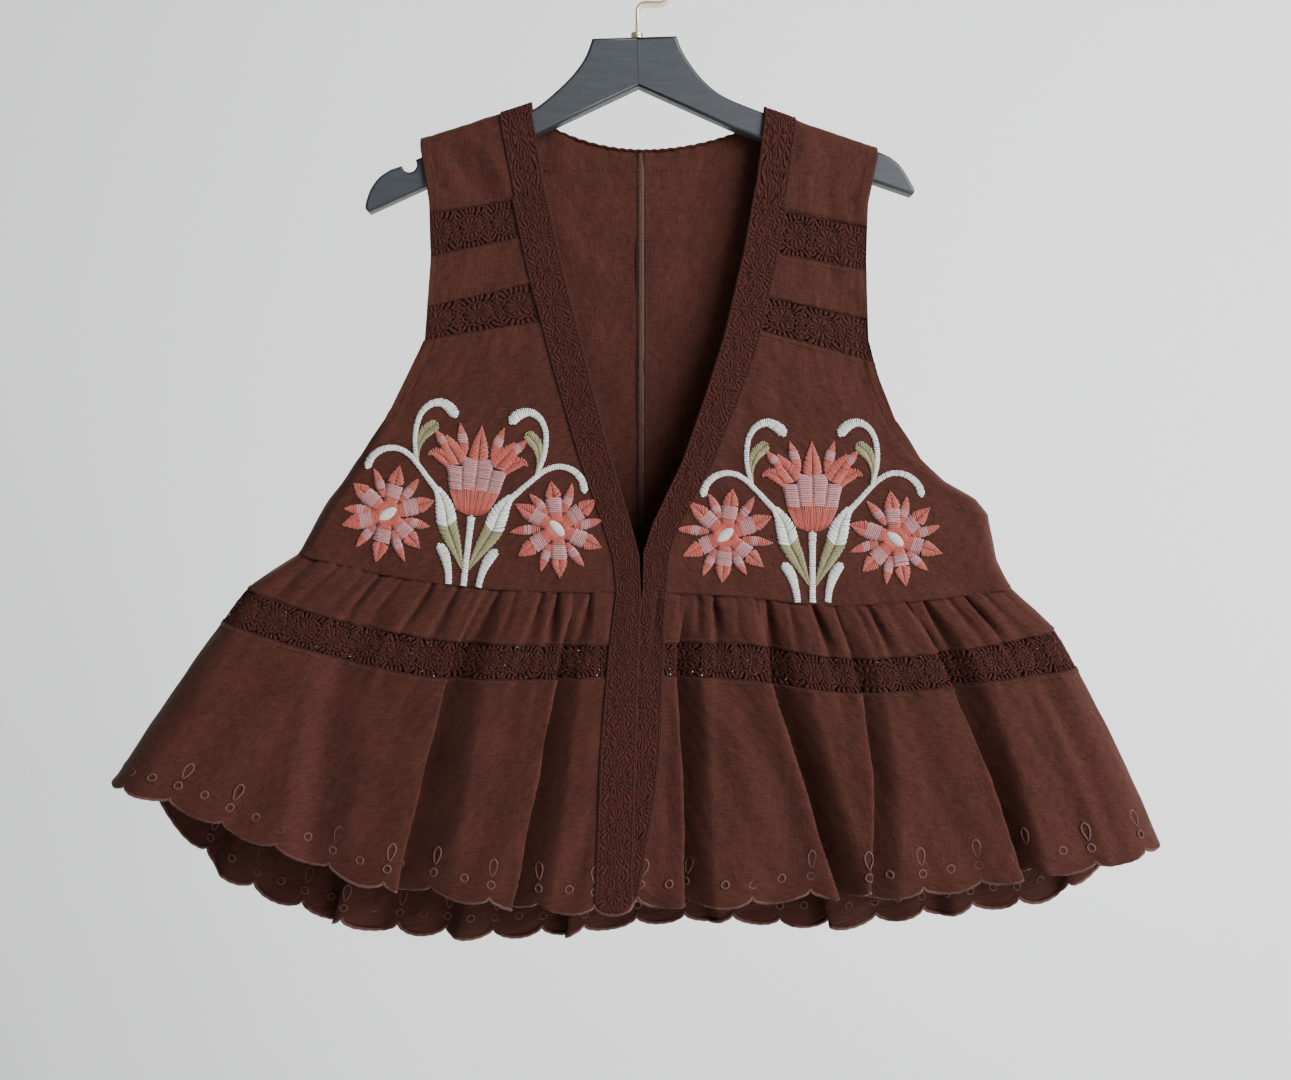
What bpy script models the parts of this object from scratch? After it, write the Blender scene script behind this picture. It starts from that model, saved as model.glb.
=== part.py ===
"""Embroidered sleeveless top with a gathered peplum, open at the front, on a flat wooden hanger.

Sizes are in millimetres and are scaled to metres where a mesh is made. +Z is up, the front
faces -Y, and left and right are those of someone who looks at the front. The origin is
the inner top of the hook's bend, where a rail carries it.
"""

import math
from collections import namedtuple

import bmesh
import bpy
from mathutils import Vector
from mathutils.bvhtree import BVHTree

MM = 0.001

# Walls, and the gaps between the pieces.
CLOTH_WALL = 1.2
LACE_WALL = 1.4
STITCH_WALL = 0.9
SEAM_GAP = 0.3
PEPLUM_GAP = 0.6
LAY_GAP = 0.35

# Hanger: a symmetric board, turned a little about the foot of its hook as it hangs.
BOARD_HALF = 7.0
BOARD_EDGE = 2.5
BOARD_TOP = -77.5
BOARD_TILT = math.radians(1.7)
BOARD_JOINT = 0.15
STRAP_NOTCH = 12.2
HOOK_WIDTH = 10.0
HOOK_THICKNESS = 2.4
HOOK_BEND = 25.2
HOOK_RUN = -49.5
HOOK_CORNER = 7.0
FERRULE_RADIUS = 5.0
FERRULE_HEIGHT = 5.0

# The shoulder cloth passes over the board in an arch and ends a little way down the back.
ARCH_RADIUS = 8.6
ARCH_STEPS = 6
BACK_DROP = 10.0

# Side of the body: how far in from the side seam the cloth turns to the back.
BODY_CURL = 12.0
ARMHOLE_CLOSING = 60.0
CENTRE_BACK = 4.5
NECK_CENTRE = -165.5
BACK_DEPTH_TOP = ARCH_RADIUS
BACK_DEPTH_WAIST = 19.0
BUST_FULLNESS = 3.0
FRONT_LAYER = 2.0
LAYER_FADE = 70.0

# Lace insertion: one repeat holds one medallion, with an open corner above and below it.
REPEAT = 28.0
HOLE_WIDTH = 6.0
HOLE_HEIGHT = 4.4
LACE_WIDTH = 38.0
BAND_EDGE_RISE = 2.0
BAND_BACK_WIDTH = 26.0
BAND_STEPS = 3
BAND_FROM = 10 / 11
BAND_END = 0.93

SCALLOPS = 11
SCALLOP_DEPTH = 9.0
SCALLOP_STEPS = {"front": 4, "back": 3}
GATHERS = 14
GATHER_STEPS = {"front": 4, "back": 3}

Edge = namedtuple("Edge", "height across")
ARMHOLE = {
    "left": [
        Edge(-158, -172), Edge(-208.5, -164.9), Edge(-256, -163.4), Edge(-319.5, -167.9),
        Edge(-351, -182.3), Edge(-383, -197.2), Edge(-414.5, -221.1), Edge(-446, -244),
        Edge(-478, -263), Edge(-489, -269),
    ],
    "right": [
        Edge(-165, 191.5), Edge(-208.5, 183.4), Edge(-256, 181.9), Edge(-319.5, 183.4),
        Edge(-351, 191.3), Edge(-383, 203.2), Edge(-414.5, 224.1), Edge(-432, 244),
        Edge(-446, 269), Edge(-458, 279),
        Edge(-494, 285.5), Edge(-516, 297),
    ],
}
NECKLINE = {
    "left": [
        Edge(-128.5, -83.8), Edge(-197, -73.2), Edge(-262.5, -58.7), Edge(-329, -41.8),
        Edge(-408, -22), Edge(-463.5, -5.3), Edge(-490, 1.7), Edge(-519, 3.1),
    ],
    "right": [
        Edge(-134.5, 101.3), Edge(-189, 95.1), Edge(-246.5, 85.1), Edge(-317.5, 68.6), Edge(-367, 52.8),
        Edge(-415, 36), Edge(-466, 11.9), Edge(-488, 5), Edge(-519, 4.3),
    ],
}
BAND_WIDTHS = [
    Edge(-126, 25), Edge(-160, 27.5), Edge(-340, 27.5), Edge(-430, 24), Edge(-520, 19),
    Edge(-565, 24), Edge(-640, 28), Edge(-780, 29),
]
UNDERARM = {"left": -436.0, "right": -446.0}

# Seams across the fronts: heights at the armhole and at the neckline, and how far forward.
Seam = namedtuple("Seam", "outer inner depth")
SEAMS = {
    "left": {
        "fold": Seam(-158, -129.5, ARCH_RADIUS),
        "yoke_top": Seam(-216.5, -202, 10),
        "yoke_upper": Seam(-256, -235, 11),
        "yoke_lower": Seam(-291, -266, 12),
        "yoke_base": Seam(-322, -303.5, 13.5),
    },
    "right": {
        "fold": Seam(-165.4, -133, ARCH_RADIUS),
        "yoke_top": Seam(-227.5, -210, 10),
        "yoke_upper": Seam(-267, -249, 11),
        "yoke_lower": Seam(-301, -278, 12),
        "yoke_base": Seam(-339.5, -307.5, 13.5),
    },
}

# The hem hangs unevenly: heights of its lowest line, evenly spaced from the first side.
HEM_HEIGHTS = {
    "left": (-669, -681.5, -703.5, -724.5, -745, -752, -761.5, -765.3, -766.5),
    "right": (-717, -731, -738.5, -748.5, -755, -753.5, -761, -761, -761),
    "back": (
        -669, -748, -783, -800, -805, -804, -795, -792, -797, -792, -783, -772, -717,
    ),
}

# Peplum rings from the waist seam to the hem. drop is the share of the way down, side and
# front are X at the side seam and at the front edge, heights run evenly from side to front,
# curl is the width of the turn at the side and depth the distance in front of the middle.
Ring = namedtuple("Ring", "drop side front heights curl depth")
PEPLUM = {
    "left": [
        Ring(0.00, -269, 3.1, (-489, -504.5, -514.5, -518.5, -518.5), 12, 25),
        Ring(0.17, -308, 2.1, (-515, -539, -554, -558.5, -557.5), 18, 31),
        Ring(0.31, -330, 1.2, (-543, -568.5, -586.5, -589, -585), 22, 34),
        Ring(0.64, -375, -1.2, (-607, -640.5, -667.5, -676, -677), 30, 41),
        Ring(1.00, -416, -3.6, HEM_HEIGHTS["left"], 34, 47),
    ],
    "right": [
        Ring(0.00, 297, 4.3, (-516, -525, -529, -522, -518.5), 12, 25),
        Ring(0.17, 330, -1.8, (-547, -562.5, -568.5, -557, -557.5), 18, 31),
        Ring(0.31, 350, -4.7, (-580.5, -592, -599.5, -589.5, -585), 22, 34),
        Ring(0.64, 386, -13.3, (-652, -666.5, -675, -673, -672), 30, 41),
        Ring(1.00, 414, -29.5, HEM_HEIGHTS["right"], 34, 47),
    ],
}
BACK_PEPLUM = [
    Ring(0.00, -269, 297, (-489, -508.5, -518.5, -521.5, -527, -523.5, -516), 12, 19),
    Ring(0.17, -308, 330, (-515, -547.5, -561.5, -565.5, -569, -561.5, -547), 18, 24),
    Ring(0.31, -330, 350, (-543, -583, -599.5, -602.5, -604.5, -596.5, -580.5), 22, 26),
    Ring(0.64, -375, 386, (-607, -678, -699.5, -696.5, -700.5, -686, -652), 30, 31),
    Ring(1.00, -416, 414, HEM_HEIGHTS["back"], 34, 35),
]
LACE_TOP = 0.17
LACE_BASE = 0.31

# Deep folds of the skirt. lace and hem are where the crest runs, as shares of the way from
# the first side; crest is how far it stands out at the hem, reach and drop the widths of its
# gentle and steep sides, way the side of the steep one (+1 is +X), lean how far it tips
# that way, and valley the depth beyond it as a share of the crest.
Fold = namedtuple("Fold", "lace hem crest reach drop way lean valley")
FOLDS = {
    "left": [
        Fold(0.20, 0.16, 4.0, 42, 42, 1, 0.0, 0.4),
        Fold(0.38, 0.37, 4.5, 46, 46, 1, 0.0, 0.3),
        Fold(0.535, 0.542, 7.0, 34, 15, 1, 4.0, 0.7),
        Fold(0.651, 0.682, 7.0, 36, 16, -1, 4.0, 0.5),
        Fold(0.873, 0.839, 7.5, 28, 14, -1, 4.5, 0.8),
    ],
    "right": [
        Fold(0.889, 0.819, 6.0, 15, 13, 1, 1.5, 0.8),
        Fold(0.689, 0.573, 10.0, 40, 14, 1, 6.0, 0.6),
        Fold(0.485, 0.508, 4.5, 34, 30, 1, 0.0, 0.5),
        Fold(0.280, 0.235, 10.0, 40, 14, 1, 6.0, 0.6),
        Fold(0.150, 0.140, 4.0, 26, 26, 1, 0.0, 0.3),
    ],
}
BACK_FOLDS = [
    Fold(0.09, 0.08, 4.0, 30, 28, 1, 0.0, 0.4),
    Fold(0.20, 0.19, 6.0, 34, 18, -1, 3.0, 0.6),
    Fold(0.32, 0.30, 5.5, 36, 30, 1, 0.0, 0.5),
    Fold(0.43, 0.42, 7.0, 34, 16, 1, 4.0, 0.6),
    Fold(0.55, 0.57, 6.0, 38, 30, -1, 0.0, 0.5),
    Fold(0.67, 0.69, 7.0, 36, 16, -1, 4.0, 0.6),
    Fold(0.79, 0.80, 5.0, 34, 30, 1, 0.0, 0.4),
    Fold(0.91, 0.92, 4.5, 28, 26, 1, 0.0, 0.4),
]
GATHER_HEIGHTS = [(0.0, 0.7), (0.08, 2.4), (0.17, 1.2), (0.31, 0.9), (0.5, 0.0), (1.0, 0.0)]

# Embroidered spray, the same on both fronts: its foot on the waist seam and its lean.
Spray = namedtuple("Spray", "across height lean")
SPRAYS = {
    "left": Spray(-136.0, -514.5, math.radians(-6.5)),
    "right": Spray(137.5, -527.5, 0.0),
}
DAISY_PLACES = {"outer": (65.0, 50.0), "inner": (-68.0, 53.5)}
DAISY_RADIUS = 35.0
DAISY_PETALS = 12
DAISY_HUB = 15.0

# Outline of the tulip's right half, in the spray's own plane, from its foot to its middle tip.
TULIP_HALF = [
    (0, 56), (8, 58), (15.5, 66), (18.3, 75), (21, 84), (24.5, 93), (30, 97.5), (37, 101),
    (31, 106), (36.5, 118.5), (28, 115.5), (20, 110.5), (16.5, 126.5), (9.5, 114), (6.2, 107.5),
    (4, 116),
]
TULIP_TIP = (0, 126)
TULIP_MIDDLE = (0, 88)

# Stems and leaves of the spray's right half: points from the foot, each with a half width.
Stroke = namedtuple("Stroke", "across up half")
STROKES = {
    "stem": [
        Stroke(3.5, 16, 0.8), Stroke(7.5, 25, 3.4), Stroke(12.5, 35, 6.2), Stroke(18, 46.8, 7.4),
        Stroke(21.5, 60, 6.8), Stroke(26.5, 70.5, 3.5), Stroke(35.4, 79.3, 2.2),
        Stroke(45.7, 90.3, 2.0), Stroke(54, 98.5, 2.1), Stroke(66, 102, 2.3),
        Stroke(77, 98.5, 2.5), Stroke(82.5, 92.5, 2.5), Stroke(84, 85.5, 2.2),
    ],
    "curl": [
        Stroke(47.3, 97.2, 1.3), Stroke(50.5, 108, 1.9), Stroke(51.3, 119, 2.0),
        Stroke(49.5, 130, 2.1), Stroke(43.5, 138.8, 2.5), Stroke(34.5, 142, 3.3),
        Stroke(26, 138.5, 4.0), Stroke(21, 131.5, 3.2),
    ],
    "leaf": [
        Stroke(44.3, 97, 0.8), Stroke(46, 106, 1.5), Stroke(44.5, 113, 3.2),
        Stroke(41.5, 119.5, 4.2), Stroke(36.5, 125, 2.6),
    ],
    "foot": [
        Stroke(11.6, 1.5, 2.2), Stroke(13.4, 13.4, 2.8), Stroke(18.3, 25.6, 3.8),
        Stroke(23, 31.5, 2.8),
    ],
}
INNER_STEM_END = Stroke(82, 95, 2.4)
CENTRE_STEM = [Stroke(0, 1.0, 2.2), Stroke(0, 30, 2.3), Stroke(0, 54.8, 2.8)]

Finish = namedtuple("Finish", "colour roughness metallic")
FINISHES = {
    "cotton": Finish((0.085, 0.033, 0.024), 0.9, 0.0),
    "lace": Finish((0.062, 0.024, 0.02), 0.85, 0.0),
    "coral_thread": Finish((0.62, 0.13, 0.09), 0.55, 0.0),
    "white_thread": Finish((0.8, 0.78, 0.74), 0.55, 0.0),
    "olive_thread": Finish((0.27, 0.25, 0.13), 0.55, 0.0),
    "board_paint": Finish((0.06, 0.07, 0.08), 0.45, 0.0),
    "brass": Finish((0.72, 0.6, 0.35), 0.25, 1.0),
}


def clear_scene():
    for obj in list(bpy.data.objects):
        bpy.data.objects.remove(obj)


def new_collection(name):
    collection = bpy.data.collections.new(name)
    bpy.context.scene.collection.children.link(collection)
    return collection


def material(name):
    """The Principled material of one finish, made once."""
    found = bpy.data.materials.get(name)
    if found:
        return found
    finish = FINISHES[name]
    made = bpy.data.materials.new(name)
    made.use_nodes = True
    shader = made.node_tree.nodes["Principled BSDF"]
    shader.inputs["Base Color"].default_value = (*finish.colour, 1)
    shader.inputs["Roughness"].default_value = finish.roughness
    shader.inputs["Metallic"].default_value = finish.metallic
    return made


def mix(a, b, share):
    return a + (b - a) * share


def smooth(share):
    """0 to 1 with level ends."""
    share = min(1.0, max(0.0, share))
    return share * share * (3 - 2 * share)


def catmull(before, start, end, after, share):
    """A curve through start and end that leans on their neighbours."""
    slope_start = (end - before) / 2
    slope_end = (after - start) / 2
    rise = end - start
    square = share * share
    cube = square * share
    return (
        start
        + slope_start * share
        + (3 * rise - 2 * slope_start - slope_end) * square
        + (slope_start + slope_end - 2 * rise) * cube
    )


def along(values, share):
    """A smooth curve through evenly spaced values."""
    last = len(values) - 1
    place = min(last, max(0.0, share * last))
    step = min(last - 1, int(place))
    before = values[max(0, step - 1)] if step else 2 * values[0] - values[1]
    after = values[step + 2] if step + 2 <= last else 2 * values[last] - values[last - 1]
    return catmull(before, values[step], values[step + 1], after, place - step)


def read_down(rows, height):
    """The value of an Edge table at a height; the rows run downwards."""
    if height >= rows[0].height:
        return rows[0].across
    for upper, lower in zip(rows, rows[1:]):
        if height >= lower.height:
            share = (upper.height - height) / (upper.height - lower.height)
            return mix(upper.across, lower.across, share)
    return rows[-1].across


def read_pairs(pairs, place):
    for (start, low), (end, high) in zip(pairs, pairs[1:]):
        if place <= end:
            return mix(low, high, (place - start) / (end - start))
    return pairs[-1][1]


def turn(curl, depth, width, share, band=0.0):
    """(distance in from the side seam, share of the depth) along a quarter turn and a flat run.

    With a band, the shares beyond BAND_FROM span the cloth that the band covers.
    """
    turn_length = math.pi / 4 * (curl + depth)
    length = turn_length + width - curl
    place = share * length
    if band:
        place = band_fit(share, length, band)
    if place < turn_length:
        angle = place / turn_length * math.pi / 2
        return curl * (1 - math.cos(angle)), math.sin(angle)
    return curl + place - turn_length, 1.0


def band_fit(share, length, band):
    """Distance along a front, where the shares beyond BAND_FROM span the band's width."""
    if share <= BAND_FROM:
        return share / BAND_FROM * (length - band)
    return length - band * (1 - share) / (1 - BAND_FROM)


def waist_heights(side):
    return PEPLUM[side][0].heights


def seam_height(side, name, share):
    """Height of a seam of the front at a share of the way from armhole to neckline."""
    if name == "waist":
        return along(waist_heights(side), share)
    seam = SEAMS[side][name]
    return mix(seam.outer, seam.inner, share)


def seam_depth(side, name):
    return PEPLUM[side][0].depth if name == "waist" else SEAMS[side][name].depth


def layer_shift(side, height, from_front):
    """Below the neckline's point the left front edge lies over the right one."""
    down = smooth((-400 - height) / 60)
    near = smooth(1 - (from_front - 32) / LAYER_FADE)
    return (-FRONT_LAYER if side == "left" else FRONT_LAYER) * down * near


def front_place(side, upper, lower, share, down):
    """A point of a front between two seams, share from the armhole in, down from the upper."""
    outer_height = mix(seam_height(side, upper, 0), seam_height(side, lower, 0), down)
    inner_height = mix(seam_height(side, upper, 1), seam_height(side, lower, 1), down)
    outer = read_down(ARMHOLE[side], outer_height)
    inner = read_down(NECKLINE[side], inner_height)
    depth = mix(seam_depth(side, upper), seam_depth(side, lower), down)
    if lower == "waist":
        depth += BUST_FULLNESS * math.sin(math.pi * down)
    width = abs(inner - outer)
    band = read_down(BAND_WIDTHS, inner_height)
    inward, turned = turn(BODY_CURL, depth, width, share, band)
    closed = smooth((UNDERARM[side] + ARMHOLE_CLOSING - outer_height) / ARMHOLE_CLOSING)
    lateral = inward / width
    height = mix(seam_height(side, upper, lateral), seam_height(side, lower, lateral), down)
    across = outer + (inner - outer) * lateral
    forward = depth * (1 - closed * (1 - turned))
    shift = layer_shift(side, height, width - inward)
    return Vector((across, -forward + shift, height))


def shoulder_place(side, share, down):
    """The shoulder cloth: down runs 0 to 1 up the front, to 2 over the arch, to 3 down the back."""
    base = SEAMS[side]["yoke_top"]
    top = SEAMS[side]["fold"]
    rise = min(1, down)
    outer = read_down(ARMHOLE[side], mix(base.outer, top.outer, rise))
    inner = read_down(NECKLINE[side], mix(base.inner, top.inner, rise))
    width = abs(inner - outer)
    lateral = band_fit(share, width, BAND_WIDTHS[0].across) / width
    across = mix(outer, inner, lateral)
    spring = mix(top.outer, top.inner, lateral) - ARCH_RADIUS
    if down <= 1:
        height = mix(mix(base.outer, base.inner, lateral), spring, down)
        return Vector((across, -mix(base.depth, top.depth, down), height))
    if down <= 2:
        angle = (down - 1) * math.pi
        forward = ARCH_RADIUS * math.cos(angle)
        return Vector((across, -forward, spring + ARCH_RADIUS * math.sin(angle)))
    return Vector((across, ARCH_RADIUS, spring - (BACK_DROP - ARCH_RADIUS) * (down - 2)))


def back_top(across):
    """Height of the back's upper edge: a shoulder slope on each side and the neck between."""
    left = SEAMS["left"]["fold"]
    right = SEAMS["right"]["fold"]
    neck_left = read_down(NECKLINE["left"], left.inner)
    neck_right = read_down(NECKLINE["right"], right.inner)
    if neck_left < across < neck_right:
        side = "left" if across < CENTRE_BACK else "right"
        seam, corner = (left, neck_left) if side == "left" else (right, neck_right)
        share = abs(across - CENTRE_BACK) / abs(corner - CENTRE_BACK)
        corner_height = seam.inner - BACK_DROP
        return mix(NECK_CENTRE, corner_height, share * share)
    seam, corner, end = (
        (left, neck_left, read_down(ARMHOLE["left"], left.outer))
        if across <= neck_left
        else (right, neck_right, read_down(ARMHOLE["right"], right.outer))
    )
    share = (across - end) / (corner - end)
    return mix(seam.outer, seam.inner, share) - BACK_DROP


def back_waist(across):
    ring = BACK_PEPLUM[0]
    return along(ring.heights, (across - ring.side) / (ring.front - ring.side))


def back_place(side, share, down):
    """A point of one half of the back, share from the armhole to the centre back seam."""
    seam = SEAMS[side]["fold"]
    outer_height = mix(seam.outer - BACK_DROP, waist_heights(side)[0], down)
    outer = read_down(ARMHOLE[side], outer_height)
    corner = read_down(NECKLINE[side], seam.inner)
    start = read_down(ARMHOLE[side], seam.outer)
    corner_share = (corner - start) / (CENTRE_BACK - start)
    bend = share * corner_share * 2 if share < 0.5 else mix(corner_share, 1, share * 2 - 1)
    depth = mix(BACK_DEPTH_TOP, BACK_DEPTH_WAIST, smooth(down * 0.9 + 0.05))
    depth = BACK_DEPTH_TOP if down <= 0 else depth
    width = abs(CENTRE_BACK - outer)
    inward, turned = turn(BODY_CURL, depth, width, mix(bend, share, smooth(down)))
    closed = smooth((UNDERARM[side] + ARMHOLE_CLOSING - outer_height) / ARMHOLE_CLOSING)
    lateral = inward / width
    across = outer + (CENTRE_BACK - outer) * lateral
    top_across = mix(start, CENTRE_BACK, lateral)
    reach = BACK_PEPLUM[0].side if side == "left" else BACK_PEPLUM[0].front
    bottom = back_waist(mix(reach, CENTRE_BACK, lateral))
    height = mix(back_top(top_across), bottom, down)
    return Vector((across, depth * (1 - closed * (1 - turned)), height))


def down_rings(drops, values, drop):
    """A smooth curve through the values that a list of rings has at its drops."""
    step = 0
    while step < len(drops) - 2 and drop > drops[step + 1]:
        step += 1
    slopes = []
    for place in (step, step + 1):
        low = max(0, place - 1)
        high = min(len(drops) - 1, place + 1)
        slopes.append((values[high] - values[low]) / (drops[high] - drops[low]))
    span = drops[step + 1] - drops[step]
    share = (drop - drops[step]) / span
    rise = values[step + 1] - values[step]
    start, end = slopes[0] * span, slopes[1] * span
    bend = 3 * rise - 2 * start - end
    return values[step] + share * (start + share * (bend + share * (start + end - 2 * rise)))


def ring_at(rings, drop):
    """(side, front, curl, depth) of the ring at a drop, on smooth curves down a table."""
    drops = [ring.drop for ring in rings]
    return [
        down_rings(drops, [getattr(ring, name) for ring in rings], drop)
        for name in ("side", "front", "curl", "depth")
    ]


def ring_height(rings, drop, lateral):
    """Height of the cloth at a drop and at a share of the way from the first side."""
    drops = [ring.drop for ring in rings]
    return down_rings(drops, [along(ring.heights, lateral) for ring in rings], drop)


def fold_profile(fold, distance):
    """Height of a fold, as a share of its crest, at a signed distance towards its steep side."""
    if distance < -fold.reach:
        return 0.0
    if distance < 0:
        return 0.5 + 0.5 * math.cos(math.pi * distance / fold.reach)
    if distance < fold.drop:
        swing = math.cos(math.pi * distance / fold.drop)
        return (1 + fold.valley) / 2 * swing + (1 - fold.valley) / 2
    beyond = distance - fold.drop
    if beyond < fold.reach:
        return -fold.valley * (0.5 + 0.5 * math.cos(math.pi * beyond / fold.reach))
    return 0.0


def fold_shift(folds, lateral, drop, width, grows):
    """(sideways, outwards) shift of the deep folds at a point of the peplum."""
    sideways = outwards = 0.0
    strength = max(0.0, drop) ** 0.8
    lace_to_hem = max(0.0, (drop - LACE_BASE) / (1 - LACE_BASE))
    for fold in folds:
        crest = mix(fold.lace, fold.hem, lace_to_hem)
        profile = fold_profile(fold, (lateral - crest) * width * grows * fold.way)
        outwards += fold.crest * strength * profile
        sideways += fold.lean * strength * profile * fold.way
    return sideways, outwards


def gather_shift(lateral, drop, count):
    """Outward shift of the gathers below the waist seam."""
    phase = (
        count * lateral
        + 0.28 * math.sin(2 * math.pi * (1.7 * lateral + 0.13))
        + 0.18 * math.sin(2 * math.pi * (4.3 * lateral + 0.4))
    )
    return read_pairs(GATHER_HEIGHTS, drop) * math.sin(2 * math.pi * phase)


def scallop(place):
    """How far the edge rises above the lobes' lowest line, one lobe to each whole number."""
    inside = 2 * (place - math.floor(place)) - 1
    return SCALLOP_DEPTH * (1 - math.sqrt(max(0.0, 1 - inside * inside)))


def peplum_place(side, share, drop):
    """A point of a front of the peplum, share from the side seam to the front edge."""
    rings = PEPLUM[side]
    start, end, curl, depth = ring_at(rings, drop)
    width = abs(end - start)
    band = read_down(BAND_WIDTHS, ring_height(rings, drop, 1))
    inward, turned = turn(curl, depth, width, share, band)
    lateral = inward / width
    toward_front = 1 if side == "left" else -1
    calm = smooth((width - inward - 30) / 30) * smooth(inward / (2 * curl))
    sideways, outwards = fold_shift(FOLDS[side], lateral, drop, width, toward_front)
    outwards += gather_shift(lateral, drop, GATHERS)
    height = ring_height(rings, drop, lateral)
    shift = layer_shift(side, height, width - inward)
    if drop == 1:
        height += scallop(share * SCALLOPS)
    across = start + toward_front * inward + sideways * calm
    return Vector((across, shift - depth * turned - outwards * calm, height))


def back_peplum_place(share, drop):
    """A point of the peplum's back; share runs from the left side seam to the right one."""
    start, end, curl, depth = ring_at(BACK_PEPLUM, drop)
    half = (end - start) / 2
    nearer = min(share, 1 - share)
    inward, turned = turn(curl, depth, half, nearer * 2)
    lateral = inward / (2 * half)
    lateral = lateral if share <= 0.5 else 1 - lateral
    calm = smooth(inward / (2 * curl))
    sideways, outwards = fold_shift(BACK_FOLDS, lateral, drop, 2 * half, 1)
    outwards += gather_shift(lateral, drop, 2 * GATHERS)
    height = ring_height(BACK_PEPLUM, drop, lateral)
    if drop == 1:
        height += scallop(share * 2 * SCALLOPS)
    across = start + 2 * half * lateral + sideways * calm
    return Vector((across, depth * turned + outwards * calm, height))


def evenly(start, end, steps):
    return [mix(start, end, step / steps) for step in range(steps + 1)]


def front_columns(shares):
    """Columns of a front: the shares of its open part, then the ones under the band."""
    return [BAND_FROM * share for share in shares] + evenly(BAND_FROM, 1, BAND_STEPS)[1:]


def finish_piece(name, mesh, finish, collection):
    data = bpy.data.meshes.new(name)
    mesh.to_mesh(data)
    mesh.free()
    obj = bpy.data.objects.new(name, data)
    obj.data.materials.append(material(finish))
    collection.objects.link(obj)
    return obj


def thicken(obj, wall):
    """Gives an open surface an even wall, half to each side."""
    solid = obj.modifiers.new("wall", "SOLIDIFY")
    solid.thickness = wall * MM
    solid.offset = 0
    solid.use_even_offset = True
    return obj


def cloth_piece(name, place, columns, rows, collection, finish="cotton", holes=None):
    """A cloth wall through the points place(column, row); holes(i, j) says which cells are open."""
    mesh = bmesh.new()
    across = len(columns) - 1
    downward = len(rows) - 1
    bmesh.ops.create_grid(mesh, x_segments=across, y_segments=downward, size=0.5)
    if holes:
        cells = [
            face
            for face in mesh.faces
            if holes(
                int((face.calc_center_median().x + 0.5) * across),
                int((face.calc_center_median().y + 0.5) * downward),
            )
        ]
        bmesh.ops.delete(mesh, geom=cells, context="FACES")
    for vertex in mesh.verts:
        column = columns[round((vertex.co.x + 0.5) * across)]
        row = rows[round((vertex.co.y + 0.5) * downward)]
        vertex.co = place(column, row) * MM
    wall = LACE_WALL if finish == "lace" else CLOTH_WALL
    return thicken(finish_piece(name, mesh, finish, collection), wall)


def lace_columns(length):
    """Shares along a lace piece: an open cell starts each repeat and two wider ones follow."""
    repeats = max(1, round(length / REPEAT))
    steps = (0.5 - HOLE_WIDTH / 2 / REPEAT, 0.5 + HOLE_WIDTH / 2 / REPEAT, 1.0)
    shares = [0.0]
    for repeat in range(repeats):
        shares += [(repeat + step) / repeats for step in steps]
    return shares


def lace_rows(start, end):
    """Places down a lace piece with a row of open cells near each edge."""
    edge = 0.2
    hole = HOLE_HEIGHT / LACE_WIDTH
    shares = (0, edge, edge + hole, 1 - edge - hole, 1 - edge, 1)
    return [mix(start, end, share) for share in shares]


def lace_holes(columns):
    """Which cells are open among the given number of columns."""
    return lambda column, row: column < columns and column % 3 == 1 and row in (1, 3)


def inset(start, end, length):
    """A run of places drawn in by half a seam gap at each end."""
    gap = SEAM_GAP / 2 / length * (end - start)
    return start + gap, end - gap


def seam_rows(start, end, steps, length):
    """Places down a piece, drawn in at both ends by half a seam gap."""
    return evenly(*inset(start, end, length), steps)


SHOULDER_ROWS = (
    seam_rows(0, 1, 2, 60)[:2]
    + evenly(1, 2, ARCH_STEPS)
    + [3 - SEAM_GAP / 2 / (BACK_DROP - ARCH_RADIUS)]
)
FRONT_ROWS = [
    ("yoke_top", "yoke_upper", lace_rows(*inset(0, 1, LACE_WIDTH))),
    ("yoke_upper", "yoke_lower", seam_rows(0, 1, 2, 33)),
    ("yoke_lower", "yoke_base", lace_rows(*inset(0, 1, LACE_WIDTH))),
    ("yoke_base", "waist", seam_rows(0, 1, 10, 190)),
]
DROP_GAP = PEPLUM_GAP / 2 / 260
TIER_ROWS = evenly(DROP_GAP, LACE_TOP - DROP_GAP, 2)
PEPLUM_LACE_ROWS = lace_rows(LACE_TOP + DROP_GAP, LACE_BASE - DROP_GAP)
SKIRT_ROWS = [LACE_BASE + DROP_GAP, 0.42, 0.66, BAND_END, 1]


def make_yoke(side, collection):
    """The shoulder cloth, two lace insertions and the strip between them."""
    cloth_piece(
        f"shoulder_{side}",
        lambda f, v: shoulder_place(side, f, v),
        front_columns(evenly(0, 1, 4)),
        SHOULDER_ROWS,
        collection,
    )
    names = ("yoke_lace_upper", "yoke_strip", "yoke_lace_lower")
    for name, (upper, lower, rows) in zip(names, FRONT_ROWS):
        is_lace = "lace" in name
        columns = lace_columns(78) if is_lace else evenly(0, 1, 4)
        cloth_piece(
            f"{name}_{side}",
            lambda f, v, a=upper, b=lower: front_place(side, a, b, f, v),
            front_columns(columns),
            rows,
            collection,
            "lace" if is_lace else "cotton",
            lace_holes(len(columns)) if is_lace else None,
        )


def make_front(side, collection):
    """The embroidered front below the yoke."""
    upper, lower, rows = FRONT_ROWS[-1]
    return cloth_piece(
        f"front_{side}",
        lambda f, v: front_place(side, upper, lower, f, v),
        front_columns([SEAM_GAP / 2 / 280, 0.04, 0.08, 0.13] + evenly(0.22, 1, 8)),
        rows,
        collection,
    )


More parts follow.
